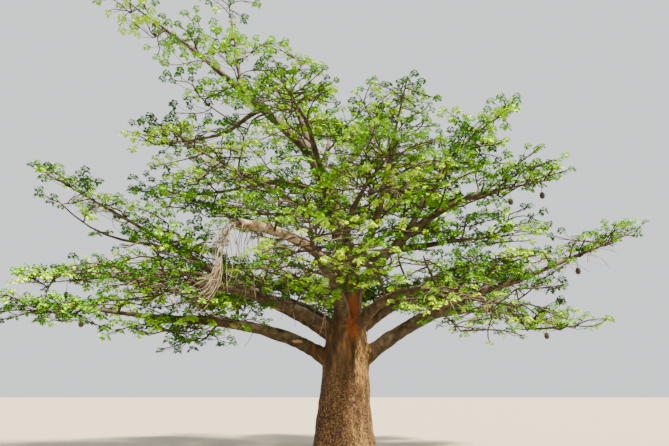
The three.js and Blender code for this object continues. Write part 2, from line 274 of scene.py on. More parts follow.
def along(limb, shares):
    """Points, unit tangents and radii at shares of a limb's length."""
    known = np.linspace(0, 1, len(limb.path))
    read = lambda values: np.stack([np.interp(shares, known, column) for column in values.T], axis=-1)
    return read(limb.path), unit(read(limb.going)), np.interp(shares, known, limb.radii)


# %% Lay the limbs
LIMB_SAMPLES, LIMB_STEPS = 65, 256
STEM_SAMPLES, STEM_STEPS = 33, 64


def lay_limbs():
    """Each limb's middle line, and its radius: straight from root to tip, times one plus a collar
    that falls off exponentially from the root, but no more than keeps the leader's foot in the trunk."""
    laid = {}
    shares = np.linspace(0, 1, LIMB_SAMPLES)
    for name, parent, at, heading, reach, height, rises, bow, radii in LIMBS:
        if parent == "trunk":
            start = np.array([TRUNK_LEAN * at / TRUNK_HEIGHT, 0, at]) * MM
        else:
            start = along(laid[parent], at)[0]
        end = direction(heading, 0) * reach * MM + (0, 0, height * MM)
        towards = np.degrees(np.arctan2(*(end - start)[1::-1]))
        leaving, arriving = direction(towards + bow, rises[0]), direction(towards - bow, rises[1])
        path = evenly(curve(start, leaving, end, arriving, LIMB_STEPS), LIMB_SAMPLES)
        collar = 1 + COLLAR_SWELL * np.exp(-shares / COLLAR_FADE)
        thickness = (radii[0] + (radii[1] - radii[0]) * shares) * collar
        laid[name] = make_limb(path, MM * np.minimum(thickness, COLLAR_MOST))
    return laid


limbs = lay_limbs()
parents = {name: parent for name, parent, *_ in LIMBS}
print("limbs laid, the longest", round(max(limb.length for limb in limbs.values()), 1), "m")

# %% [markdown]
# ## The spaces of the crown
# Each mass of the crown grows in an egg-shaped space beyond its bough's tip. A point belongs to the
# egg that it lies deepest in, so neighbours never mix and the sky stays open between them. The stem of
# a mass carries on from the bough's tip, and here it is joined to the bough as one limb.

# %% The egg table, in millimetres and degrees
MASSES = [
    # limb, heading, rise, length, width, height, and how it grows: twigs, how far down it reaches as a
    # share of its egg, how much more its sprays droop, and the share of its rosettes that it has lost
    ("low_left", 187, 6, 7000, 4400, 2100, 6, 1, 10, 0),
    ("left_high", 180, 30, 8200, 3100, 2300, 5, 0.6, -5, 0.45),
    ("left_far", 185, -5, 6200, 3000, 1600, 3, 1, 4, 0.3),
    ("front_left", 216, 0, 5300, 4200, 2300, 8, 1, 14, 0),
    ("broken", 222, -55, 2600, 1900, 1900, 0, 0, 0, 0),
    ("front", 264, 3, 5200, 4400, 2200, 9, 1, 8, 0),
    ("front_right", 310, -14, 4800, 3600, 2400, 9, 1, 26, 0.4),
    ("low_right", 352, 21, 5700, 3000, 1900, 4, 0.3, -8, 0.4),
    ("under_right", 2, -12, 3900, 3200, 1800, 3, 0.5, -6, 0.6),
    ("right_mid", 20, 20, 5200, 4000, 3000, 9, 1, 4, 0.3),
    ("right_up", 347, 11, 4200, 3400, 2200, 5, 0.2, -7, 0.5),
    ("right_side", 5, 46, 4000, 3600, 2800, 4, 0.8, -4, 0),
    ("right_upright", 300, 66, 3600, 2800, 2700, 4, 0.5, 0, 0.4),
    ("left_lateral", 170, -5, 5400, 4000, 2900, 4, 1, 4, 0),
    ("top_left", 184, 38, 5900, 3300, 2900, 3, 0.5, 0, 0.42),
    ("top_left_side", 178, -10, 4000, 3000, 2200, 2, 0.5, 0, 0.2),
    ("top_left_up", 150, 78, 3500, 3000, 2600, 2, 0.5, 0, 0.42),
    ("top_middle", 130, 60, 3600, 3800, 2800, 2, 0.5, 0, 0.4),
    ("top_right", 25, 50, 3500, 4000, 3000, 2, 0.5, 0, 0.5),
    ("top_back", 95, 40, 4300, 4200, 2800, 3, 0.5, 0, 0),
    ("top_front", 255, 10, 3900, 3800, 2500, 4, 0.5, 0, 0.4),
    ("back_right", 54, 4, 5600, 4600, 2500, 9, 0.5, 0, 0.15),
    ("back", 92, 4, 5600, 4600, 2500, 9, 1, 0, 0),
    ("back_left", 132, 4, 5600, 4600, 2500, 9, 1, 0, 0),
    ("back_right_mid", 50, 18, 5000, 4200, 2800, 5, 1, 8, 0),
    ("right_back", 14, 9, 4800, 3800, 2700, 5, 1, 8, 0.4),
    ("back_left_mid", 138, 12, 5000, 4200, 2800, 4, 1, 8, 0),
    ("front_left_mid", 230, 8, 5000, 4000, 2400, 5, 1, 12, 0.45),
    ("front_mid", 285, 8, 4800, 4000, 2400, 9, 0.8, 0, 0),
]
DEAD = "broken"
EGG_MIDDLE = 0.38
SPRAY_LENGTH, SPRAY_WIDTH, SPRAY_PEAK, SPRAY_FLATNESS = 1.4, 1.0, 0.33, 0.2
STEM_TIP, STEM_TAPER = 0.014, 0.6
print(len(MASSES), "masses")

# %% Lay the spaces


def spray_reach(axis):
    """How far a spray reaches past its twig along an axis: all its length level, a fifth of it upright."""
    return SPRAY_LENGTH * (1 + (SPRAY_FLATNESS - 1) * abs(axis[2]))


def lay_space(index, name, heading, rise, length, width, height, *growth):
    """One mass's egg and its stem, which runs on from its limb's tip to a spray short of the far end,
    and tapers by a power below one of the share, so it thins the most where its first twigs leave."""
    limb = limbs[name]
    axis, side = direction(heading, rise), direction(heading + 90, 0)
    tip, leaving = limb.path[-1], limb.going[-1]
    reach = length * MM * (EGG_MIDDLE + 0.5) - spray_reach(axis)
    path = evenly(curve(tip, leaving, tip + axis * reach, axis, STEM_STEPS), STEM_SAMPLES)
    radii = limb.radii[-1] + (STEM_TIP - limb.radii[-1]) * np.linspace(0, 1, STEM_SAMPLES) ** STEM_TAPER
    space = SimpleNamespace(name=name, index=index, stem=make_limb(path, radii))
    space.twigs, space.underside, space.droop, space.barer = growth
    space.axes = np.stack([axis, side, np.cross(axis, side)])
    space.halves = np.array([length, width, height]) * MM / 2
    space.middle = tip + axis * EGG_MIDDLE * length * MM
    return space


spaces = {row[0]: lay_space(index, *row) for index, row in enumerate(MASSES)}


def owned(space, points):
    """Whether each point lies inside the space's egg, and deeper there than in any other egg. A depth
    is the length of a point's offset along an egg's axes, each divided by that half size, so 0 is the
    middle and 1 the surface."""
    offsets = [(points - egg.middle) @ egg.axes.T / egg.halves for egg in spaces.values()]
    depths = np.linalg.norm(offsets, axis=2)
    return (depths[space.index] < 1) & (depths.argmin(axis=0) == space.index)


wood_points = np.concatenate([limb.path for limb in limbs.values()])
wood_radii = np.concatenate([limb.radii for limb in limbs.values()])


def off_the_wood(points, margin):
    """Whether each point is further from every limb's middle line than its radius and a margin."""
    away = np.linalg.norm(points[:, None] - wood_points, axis=2) - wood_radii
    return away.min(axis=1) > margin


highest = max(space.middle[2] for space in spaces.values())
print("crown reaches", round(highest, 1), "m at its highest egg's middle")

# %% [markdown]
# ## Twigs by one rule
# The solid model grows a few twigs in each egg, towards points on a golden-angle spiral, each from the
# bud that it can reach with the least bending. The same rule here has more points and carries on: each
# twig bears sprays, and each spray is a fan of fine twigs that rise to a rosette of leaves. Growing the
# leaves at random would fill the eggs evenly, while this rule gives the flat layers with sky between.

# %% The growth rule
GOLDEN_ANGLE = 137.508
TWIG_INNER = 0.6
# twigs that the photo shows apart from the rest: the points that they reach, in metres
MORE_ENDS = {
    "left_high": ((-8.9, 0.6, 8.35), (-7.9, 0.5, 7.3)),
    "left_far": ((-8.7, -0.1, 4.95),),
    "low_left": ((-8.1, -1.4, 3.7), (-5.3, -1.3, 3.3)),
    "top_middle": ((-1.7, 1.6, 13.35), (-1.4, 1.5, 12.9)),
    "right_back": ((5.4, 0.9, 7.2), (3.4, 1.3, 6.5)),
    "right_side": ((3.3, 0.2, 8.3),),
    "front_right": ((1.9, -3.6, 4.8),),
    "front": ((1.0, -4.5, 4.4),),
    "top_right": ((0.6, 0.6, 11.3),),
    "right_up": ((3.9, -1.1, 7.75),),
    "low_right": ((7.5, -1.3, 5.75),),
    "under_right": ((5.4, 0.1, 3.4),),
}
# forks that show in the photo: the share of the stem where one leaves, and the point that it reaches
FORKS = {
    "left_high": (0.12, (-9.1, 0.6, 7.6)),
    "top_left": (0.5, (-6.2, -0.3, 12.9)),
    "right_up": (0.1, (5.4, -1.5, 7.9)),
}
TWIG_SHARE, TWIG_TIP, TWIG_CROOK, TWIG_STEPS = 0.72, 0.018, 0.08, 12
TWIG_LIFT, DROOP_OF_LIFT = 0.35, 40  # how much a twig's end turns up, less its mass's droop over the second
CLEAR_FROM = 4  # a twig's steps from here on keep to its egg and off the wood
BUD_SHARES = np.array([0.2, 0.4, 0.6, 0.8, 0.95])
TURN_COST = 0.6

# %% Twigs


def twig_ends(space):
    """Points on a golden-angle spiral round the egg's middle, by turns near its surface and further
    in, and short of the surface by the sprays' reach, the nearest to the stem's root first."""
    n = np.arange(space.twigs)
    up = 1 - (2 * n + 1) / space.twigs
    turn = np.radians(GOLDEN_ANGLE * (n + space.index))
    flat = np.sqrt(1 - up**2)
    shares = np.stack([flat * np.cos(turn), flat * np.sin(turn), up], axis=1)
    shares *= np.where(n % 2, TWIG_INNER, 1)[:, None]
    shares[:, 2] *= np.where(shares[:, 2] < 0, space.underside, 1)
    reach = space.halves - [spray_reach(axis) for axis in space.axes]
    ends = space.middle + (shares * reach) @ space.axes
    ends = np.concatenate([ends, np.reshape(MORE_ENDS.get(space.name, ()), (-1, 3))])
    return ends[np.argsort(np.linalg.norm(ends - space.stem.path[0], axis=1))]


def best_bud(end, points, going):
    """The bud with the least cost: the way's length, times more the further it turns from the bud's way."""
    way = end - points
    length = np.linalg.norm(way, axis=1)
    return np.argmin(length * (1 + TURN_COST - TURN_COST * (way * going).sum(axis=1) / length))


def grow_twigs(space):
    """The fork, then twigs that curve from their buds to the ends. Each new one bears buds for the next."""
    grown, ends = [], list(twig_ends(space))
    buds = along(space.stem, BUD_SHARES)
    if space.name in FORKS:
        fork, end = FORKS[space.name]
        ends.insert(0, np.array(end))
    for number, end in enumerate(ends):
        if number == 0 and space.name in FORKS:
            start, going, radius = (values[0] for values in along(space.stem, [fork]))
        else:
            bud = best_bud(end, buds[0], buds[1])
            start, going, radius = (values[bud] for values in buds)
        way = unit(end - start)
        arriving = unit(way + (TWIG_LIFT - space.droop / DROOP_OF_LIFT) * UP)
        path = crooked(curve(start, unit(going + way), end, arriving, TWIG_STEPS), TWIG_CROOK)
        outer = path[CLEAR_FROM:]
        if owned(space, outer).all() and off_the_wood(outer, TWIG_TIP).all():
            twig = make_limb(path, np.linspace(max(radius * TWIG_SHARE, TWIG_TIP), TWIG_TIP, len(path)))
            grown.append(twig)
            buds = tuple(np.concatenate(pair) for pair in zip(buds, along(twig, BUD_SHARES)))
    return grown


# %% What stays in view
# half the width kept clear in front of the broken bough, of its stem, and of a pod that hangs free
SIGHT_ROOM, SIGHT_BEYOND = (0.22, 0.4, 0.24), 0.2  # and how far beyond them it is kept clear
BARE_FROM, BARE_POINTS = 0.45, 24  # the share of the broken bough's length from where it shows
POD_STALK, POD_LENGTH, POD_WIDTH, POD_AT = 0.33, 0.21, 0.15, 0.6
CLEAR_POD, CLEAR_STALK = "right_up", 0.12  # its mass, and how far down its stalk it has to show
DEAD_STEM_RADII, DEAD_STEM_DROP = (0.042, 0.012), 0.75

dead_space = spaces[DEAD]
dead_end = dead_space.middle - UP * DEAD_STEM_DROP
dead_path = curve(dead_space.stem.path[0], dead_space.stem.going[0], dead_end, -UP, STEM_STEPS)
dead_stem = make_limb(evenly(dead_path, STEM_SAMPLES), np.linspace(*DEAD_STEM_RADII, STEM_SAMPLES))


def hides_what_shows(points):
    """Whether each point lies nearer to the camera than the broken bough, its hanging twigs or the free
    pod, and close to a line of sight to them: its distance times the sine of the angle is small."""
    drops = np.array([[CLEAR_STALK], [POD_STALK + POD_LENGTH / 2]])
    pod = along(spaces[CLEAR_POD].stem, [POD_AT])[0] - UP * drops
    shown = [along(limbs[DEAD], np.linspace(BARE_FROM, 1, BARE_POINTS))[0], dead_stem.path[2:], pod]
    room = np.repeat(SIGHT_ROOM, [len(part) for part in shown])
    shown = np.concatenate(shown) - EYE
    offset = points - EYE
    near = np.linalg.norm(offset, axis=1)[:, None]
    across = np.linalg.norm(np.cross(offset[:, None], unit(shown)), axis=2)
    return ((across < room) & (near < np.linalg.norm(shown, axis=1) + SIGHT_BEYOND)).any(axis=1)


# %% Sprays of rosettes
# where sprays leave: share of the length, turn, droop and roll
SPRAYS_ON_TWIG = ((0.98, 0, -8, 10), (0.8, 80, -4, -14), (0.6, -80, -4, 14))
SPRAYS_ON_STEM = (
    (0.98, 0, -8, 10), (0.88, 60, -6, -14), (0.78, -60, -6, 14), (0.66, 70, -6, -14), (0.54, -70, -6, 14),
)
TURN_CHANCE, DROOP_CHANCE, SPRAY_SIZES, SPRAY_STEPS = 14, 10, (0.82, 1.06), 6
# where a spray's rosettes stand: shares of its length and width, and of its peak's height
ROSETTES = np.array(
    [
        (0.98, 0.0, 0.1), (0.78, 0.4, 0.3), (0.72, -0.42, 0.45), (0.6, 0.02, 0.9),
        (0.46, 0.5, 0.5), (0.36, -0.46, 0.8), (0.18, 0.14, 0.7),
    ]
)
JITTER = (0.12, 0.12, 0.06)
LEAF_ROOM = 0.1  # from a rosette's middle to the nearest limb's bark
BOX_ROOM = 0.1  # from a rosette's middle to the solid model's box
FORK_MIDDLE, FORK_ROOM = (0.1, -0.4, 2.9), 2.1  # no leaves grow in this ball, so the fork stays bare


def spray_axes(headings, droop, roll):
    """Matrices whose columns run out along each spray, across it and up from it. The last two are
    rolled about the first: cos(roll) level + sin(roll) up, and cos(roll) up - sin(roll) level."""
    out, level = direction(headings, -droop), direction(headings + 90, 0)
    up = np.cross(out, level)
    c, s = np.cos(np.radians(roll))[:, None], np.sin(np.radians(roll))[:, None]
    return np.stack([out, c * level + s * up, c * up - s * level], axis=-1)


def may_bear(space, points):
    """Whether a rosette may stand at each point: in its egg, off the wood and the fork, out of the way
    of what shows, in the solid model's box, and not one of those that the mass has lost."""
    keep = off_the_wood(points, LEAF_ROOM) & (owned(space, points) if space else True)
    keep &= (np.linalg.norm(points - FORK_MIDDLE, axis=1) > FORK_ROOM) & ~hides_what_shows(points)
    low, high = np.array(cad_box)
    keep &= ((points > low + BOX_ROOM) & (points < high - BOX_ROOM)).all(axis=1)
    return keep & (rng.uniform(size=len(keep)) > (space.barer if space else 0))


# %% Grow sprays
def grow_sprays(twigs, droop=0, space=None):
    """For every twig three sprays, and for the space's stem five, each with an axis and one fine twig
    to each rosette. A spray keeps the rosettes that may grow, if they are two or more."""
    bearers = [(twig, SPRAYS_ON_TWIG) for twig in twigs] + ([(space.stem, SPRAYS_ON_STEM)] if space else [])
    rows = np.concatenate([np.array(table) for _, table in bearers])
    roots = np.concatenate([along(twig, np.array(table)[:, 0])[0] for twig, table in bearers])
    tips = np.concatenate([np.tile(twig.going[-1], (len(table), 1)) for twig, table in bearers])
    headings = np.degrees(np.arctan2(tips[:, 1], tips[:, 0])) + rows[:, 1]
    headings += rng.uniform(-TURN_CHANCE, TURN_CHANCE, len(rows))
    droops = rows[:, 2] + droop + rng.uniform(-DROOP_CHANCE, DROOP_CHANCE, len(rows))
    turns = spray_axes(headings, droops, rows[:, 3])
    size = rng.uniform(*SPRAY_SIZES, len(rows))[:, None, None]
    spread = ROSETTES * (SPRAY_LENGTH, SPRAY_WIDTH, SPRAY_PEAK)
    local = spread * size + JITTER * rng.uniform(-1, 1, (len(rows), len(ROSETTES), 3))
    centres = np.einsum("sij,srj->sri", turns, local) + roots[:, None]
    keep = may_bear(space, centres.reshape(-1, 3)).reshape(centres.shape[:2])
    used = keep.sum(axis=1) > 1
    keep &= used[:, None]
    out, lift = turns[:, :, 0], turns[:, :, 2]
    last = np.where(keep, np.arange(len(ROSETTES)), len(ROSETTES)).min(axis=1).clip(max=len(ROSETTES) - 1)
    tips = centres[np.arange(len(rows)), last]
    axes = curve(roots, unit(out + 0.35 * lift), tips, unit(out + 0.1 * lift), SPRAY_STEPS)
    axes = crooked(axes, TWIG_CROOK)
    return SimpleNamespace(axes=axes, centres=centres, keep=keep, used=used, lift=lift)


# %% Side shoots
# where shoots leave a limb, as shares of its length
ALL_ALONG, OUTER_HALF = (0.3, 0.45, 0.6, 0.75, 0.9), (0.5, 0.62, 0.75, 0.88)
USUAL, FEW = (0.52, 0.66, 0.8, 0.93), (0.6, 0.88)
SHOOT_SHARES = {
    "leader": ALL_ALONG,
    "top_left": ALL_ALONG,
    "right_side": ALL_ALONG,
    "right_mid": OUTER_HALF,
    "back_left_mid": OUTER_HALF,
    "low_left": (0.7, 0.8, 0.9),
    "broken": (0.45, 0.6, 0.75),
    "right_back": (0.34, 0.46, 0.58, 0.7, 0.84),
    "right_up": (0.4, 0.52, 0.66, 0.8, 0.93),
    "left_high": (0.45, 0.58, 0.7, 0.82, 0.93),
    "left_far": (0.45, 0.65, 0.85),
}
FEW_TWIGS = 7  # masses with fewer twigs than this have few shoots too
SHOOT_LENGTHS, SHOOT_RISES, SHOOT_SIDES, LOWEST_SHOOT = (1.2, 1.9), (0.1, 0.6), (0.6, 1), 3.4
SHOOT_ROOT, THICKEST_SHOOT = 0.35, 0.04  # a share of the limb's radius, and metres
DROOPING_LIMBS, SHOOT_DROOP = ("low_left", "top_left"), 0.55


def grow_shoots(name, usual):
    """Side shoots of a limb, which leave it by turns to the left and right and rise."""
    starts, going, radii = along(limbs[name], np.array(SHOOT_SHARES.get(name, usual)))
    count = len(starts)
    side = unit(np.cross(going, UP)) * np.where(np.arange(count) % 2, 1, -1)[:, None]
    rise = rng.uniform(*SHOOT_RISES, (count, 1)) - (SHOOT_DROOP if name in DROOPING_LIMBS else 0)
    way = unit(0.5 * going + side * rng.uniform(*SHOOT_SIDES, (count, 1)) + UP * rise)
    ends = starts + way * rng.uniform(*SHOOT_LENGTHS, (count, 1))
    paths = curve(starts, unit(way + 0.4 * going), ends, unit(way + 0.6 * UP), TWIG_STEPS)
    paths = crooked(paths, TWIG_CROOK)
    roots = np.clip(radii * SHOOT_ROOT, TWIG_TIP, THICKEST_SHOOT)
    shoots = [make_limb(path, np.linspace(root, TWIG_TIP, len(path))) for path, root in zip(paths, roots)]
    return [shoot for shoot in shoots if shoot.path[0, 2] > LOWEST_SHOOT]


# %% Grow every mass
def grow_crown():
    """Twigs and sprays of every leafy mass, the stem bearing sprays as its twigs do, and then the
    side shoots of its limb. The leader and the broken bough have shoots but no mass of leaves, so
    theirs are counted with the lowest mass on the left."""
    grown = []

    def add(space, twigs, sprays):
        grown.append(SimpleNamespace(space=space, twigs=twigs, sprays=sprays))

    for space in spaces.values():
        if space.name == DEAD:
            continue
        twigs = grow_twigs(space)
        add(space, twigs, grow_sprays(twigs, space.droop, space))
        shoots = grow_shoots(space.name, FEW if space.twigs < FEW_TWIGS else USUAL)
        if shoots:
            add(space, shoots, grow_sprays(shoots, space.droop))
    for name in ("leader", DEAD):
        shoots = grow_shoots(name, USUAL)
        add(spaces["low_left"], shoots, grow_sprays(shoots))
    return grown


crown = grow_crown()
for kind, counts in (
    ("twigs", [len(mass.twigs) for mass in crown]),
    ("sprays", [mass.sprays.used.sum() for mass in crown]),
    ("rosettes", [mass.sprays.keep.sum() for mass in crown]),
):
    print(int(sum(counts)), kind)

# %% [markdown]
# ## Tubes
# Trunk, boughs, twigs and stalks are all a ring carried along a path. One function makes any number of
# such tubes at once, as long as they have the same number of rings. Each end is closed by a fan.

# %% Many tubes at once


def frames_along(paths):
    """Two directions across each path at each point: a fixed one that is square to the path's chord,
    made square to the tangent, and the cross product of the tangent with it."""
    going = unit(np.gradient(paths, axis=1))
    chord = unit(paths[:, -1] - paths[:, 0])
    helper = np.eye(3)[np.abs(chord).argmin(axis=1)]
    fixed = np.cross(chord, helper)[:, None]
    across = unit(fixed - (fixed * going).sum(axis=2, keepdims=True) * going)
    return across, np.cross(going, across)


def ring_faces(rings, sides):
    """Quads between neighbouring rings of points, and a fan of triangles round each of two poles,
    whose points come after the last ring's."""
    r, s = np.meshgrid(np.arange(rings - 1), np.arange(sides), indexing="ij")
    after, low = (s + 1) % sides, r * sides
    walls = np.stack([low + s, low + after, low + sides + after, low + sides + s], axis=-1)
    s, after, last, pole = s[0], after[0], (rings - 1) * sides, rings * sides
    foot = np.stack([0 * s + pole, after, s], axis=-1)
    top = np.stack([0 * s + pole + 1, last + s, last + after], axis=-1)
    return walls.reshape(-1, 4), np.concatenate([foot, top])


def tubes(paths, radii, sides):
    """Points at path + radius (across cos a + up sin a), quads between the rings and fans at the ends."""
    count, rings = paths.shape[:2]
    across, up = frames_along(paths)
    angle = np.linspace(0, 2 * np.pi, sides, endpoint=False)[:, None]
    ring = across[:, :, None] * np.cos(angle) + up[:, :, None] * np.sin(angle)
    walls = paths[:, :, None] + radii.reshape(count, rings, -1, 1) * ring
    points = np.concatenate([walls.reshape(count, -1, 3), paths[:, [0, -1]]], axis=1)
    offset = np.arange(count)[:, None, None] * points.shape[1]
    quads, triangles = (faces[None] + offset for faces in ring_faces(rings, sides))
    return points.reshape(-1, 3), quads.reshape(-1, 4), triangles.reshape(-1, 3)


def joined(parts):
    """One set of points, quads and triangles from several, with their corner numbers moved on."""
    starts = np.cumsum([0] + [len(part[0]) for part in parts])
    quads, triangles = ([part[k] + start for part, start in zip(parts, starts)] for k in (1, 2))
    return np.concatenate([part[0] for part in parts]), np.concatenate(quads), np.concatenate(triangles)


# %% [markdown]
# ## Bark
# A baobab's bark is smooth and folded on its limbs, like thick skin, and pitted and scarred low on the
# trunk. Relief that can be seen in outline has to be in the mesh, so a smooth random field moves the
# points along their normals, and only the finest grain is left to the material.

# %% A smooth random field
HASH_PRIMES = np.array([73856093, 19349663, 83492791])


def field(points, size, seed=0):
    """From -1 to 1 with bumps of a given size: random values on a cubic lattice, blended across each
    cell by the smoothstep 3 f f - 2 f f f."""
    place = points / size
    cell = np.floor(place).astype(np.int64)
    f = place - cell
    f = f * f * (3 - 2 * f)
    total = 0
    for corner in np.ndindex(2, 2, 2):
        key = (cell + corner) @ HASH_PRIMES + seed * 7919
        key = ((key ^ (key >> 13)) * 1274126177) & 0x7FFFFFFF
        weight = np.prod(np.where(corner, f, 1 - f), axis=1)
        total = total + weight * ((key ^ (key >> 16)) % 65536 / 32767.5 - 1)
    return total


FORK = np.array([0.1, 0, 2.2])


def bark_relief(points):
    """How far the bark stands out: broad lumps and upright folds that weaken away from the trunk, a
    finer ripple everywhere, and pits low on the trunk, where a field of 55 mm bumps is at its highest."""
    away = np.linalg.norm(points - FORK, axis=1)
    strong = 0.3 + 0.7 * np.clip((3.2 - away) / 2, 0, 1)
    low = np.clip((2.6 - points[:, 2]) / 1.4, 0, 1)
    lumps = 0.022 * field(points, 0.42, 1) + 0.012 * field(points, 0.2, 2)
    folds = 0.016 * field(points * (1, 1, 0.3), 0.13, 3)
    ripple = 0.004 * field(points, 0.06, 4)
    pits = -0.012 * np.clip((field(points, 0.055, 5) - 0.3) / 0.4, 0, 1)
    return strong * (lumps + folds) + ripple + low * pits


relief = bark_relief(limbs["low_left"].path) / MM
print("bark along a low bough stands out from", relief.min().round(), "to", relief.max().round(), "mm")


# %% [markdown]
# ## Trunk and leader
# The trunk widens to a ribbed foot and narrows into the leader, and the bark runs from it into every
# bough without a crease. Tubes pushed into each other would show a sharp line there, so the trunk and
# the roots of its boughs are merged by a voxel remesh, smoothed, and then given their relief.

# %% The trunk's surface
FLUTES, FLUTE_DEPTH, FLUTE_TURN = 3, 0.016, 1
FOLD_HEADING, FOLD_WIDTH, FOLD_DEPTH = 281, 13, 0.06  # a deep fold up the front, in degrees and metres


def trunk_grid(rings=84, sides=128):
    """The trunk on a grid of height and angle: the table's radius, a flare that dies away upwards
    with five ribs, three shallow flutes, and one fold, a bell-shaped dent round its heading."""
    height = TRUNK_HEIGHT * np.linspace(0, 1, rings)[:, None] ** RING_CROWDING
    angle = np.linspace(0, 2 * np.pi, sides, endpoint=False)[None]
    taper = np.interp(height, TAPER_HEIGHTS, TAPER_RADII)
    flare = FLARE_REACH * (1 + FLARE_DEPTH * np.cos(FLARE_RIBS * angle)) * np.exp(-height / FLARE_FADE)
    flutes = FLUTE_DEPTH / MM * np.cos(FLUTES * angle + FLUTE_TURN)
    off = (np.degrees(angle) - FOLD_HEADING - 4 * np.sin(height / 700)) / FOLD_WIDTH
    fold = FOLD_DEPTH / MM * np.exp(-(off**2)) * np.clip((height - 1100) / 1500, 0, 1)
    radius = taper + flare + flutes - fold
    x = TRUNK_LEAN * height / TRUNK_HEIGHT + radius * np.cos(angle)
    points = np.stack([x, radius * np.sin(angle), height + 0 * angle], axis=-1) * MM
    poles = np.array([[0, 0, 0], [TRUNK_LEAN, 0, TRUNK_HEIGHT]]) * MM
    return np.concatenate([points.reshape(-1, 3), poles]), *ring_faces(rings, sides)


BREAST_HEIGHT = 1.3
grid = trunk_grid()[0]
ring = grid[np.abs(grid[:, 2] - BREAST_HEIGHT) < 0.04]
print("trunk at breast height:", np.ptp(ring[:, 0]).round(2), "m thick")


# %% Fuse and carve
OVERLAP, SUNK = 0.25, 0.12  # two bark pieces share this length, where the hidden one narrows by SUNK
VISIBLE_ROOT = {"trunk": 1.75, "leader": 1.0}  # how far a bough's fused root reaches from its start
ROOT_RINGS, ROOT_SIDES = 30, 24


def fused_share(name, parent):
    return min(0.8, VISIBLE_ROOT[parent] / limbs[name].length)


def root_tube(limb, share):
    """A limb's root up to a share of its length, narrowing over its last stretch to hide its end."""
    shares = np.linspace(0, share, ROOT_RINGS)
    path, _, radii = along(limb, shares)
    left = (share - shares) * limb.length
    narrowing = 1 - SUNK * np.clip(1 - left / OVERLAP, 0, 1)
    return tubes(path[None], (radii * narrowing)[None], ROOT_SIDES)


def roots_on(parent):
    """The roots of the boughs that leave the trunk or the leader."""
    names = [name for name in parents if parents[name] == parent and name != "leader"]
    return [root_tube(limbs[name], fused_share(name, parent)) for name in names]


def fuse(name, parts, voxel, passes):
    """The parts as one skin: a voxel remesh, then passes of smoothing."""
    rough = make_piece(name + "_rough", *joined(parts), None)
    remesh = rough.modifiers.new("skin", "REMESH")
    remesh.mode, remesh.voxel_size = "VOXEL", voxel
    smooth = rough.modifiers.new("soften", "SMOOTH")
    smooth.factor, smooth.iterations = 0.5, passes
    skin = bpy.data.meshes.new_from_object(rough.evaluated_get(bpy.context.evaluated_depsgraph_get()))
    bpy.data.objects.remove(rough)
    return skin


def carve(skin):
    """Moves every point of a skin along its normal by the bark's relief, but keeps the foot flat."""
    points, normals = np.empty((2, len(skin.vertices) * 3), np.float32)
    skin.vertices.foreach_get("co", points)
    skin.vertices.foreach_get("normal", normals)
    points, normals = points.reshape(-1, 3).astype(float), normals.reshape(-1, 3)
    moved = points + normals * bark_relief(points)[:, None]
    moved[:, 2] = np.where(points[:, 2] < 0.02, 0, moved[:, 2]).clip(min=0)
    skin.vertices.foreach_set("co", moved.astype(np.float32).ravel())
    skin.polygons.foreach_set("use_smooth", np.full(len(skin.polygons), True))
    skin.update()


def bark_piece(name, parts, voxel, passes, material):
    skin = fuse(name, parts, voxel, passes)
    carve(skin)
    skin.materials.clear()
    skin.materials.append(material)
    print(f"{name}: {2 * len(skin.polygons)} triangles")
    return add_object(name, skin)


# %% [markdown]
# Bark is dead cork and fibre: dull, rough and a mix of greys and browns. On the trunk the low part is
# mottled, tan where the skin has flaked and dark in the pits, and the right side has golden patches of
# painted sunlight.
# A torn streak of orange wood shows at the front of the fork. All patterns read Object coordinates,
# which are metres here, so a noise scale of 6 makes patches of about a sixth of a metre.

# %% Bark colours
SHAFT_TONES = ((0.32, "#1d1206"), (0.5, "#3e2b10"), (0.68, "#62451e"))
FLAKED_TONES = ((0.36, "#190f06"), (0.46, "#3c2812"), (0.55, "#583e20"), (0.68, "#84683e"))
BOUGH_TONES = ("#1a150a", "#342b17", "#54482b")
# painted sunlight: the golden tone that stands for light on the trunk's right side
SUNLIT_GOLDEN_TONE = "#8d703b"
TORN_FORK = ((0.29, -0.45, 3.75), (0.2, 0.5, 0.66), "#6e3806")  # centre, half sizes, colour
SHAKEN = 0.12  # how much of a place is taken from a noise, to make a wound's edge ragged


def noise(node, place, scale, detail, out=0):
    return node("TexNoise", {"Vector": place, "Scale": scale, "Detail": detail}, out)


def mixed(node, share, base, other):
    return node("Mix", {0: share, 6: base, 7: other}, 2, data_type="RGBA")


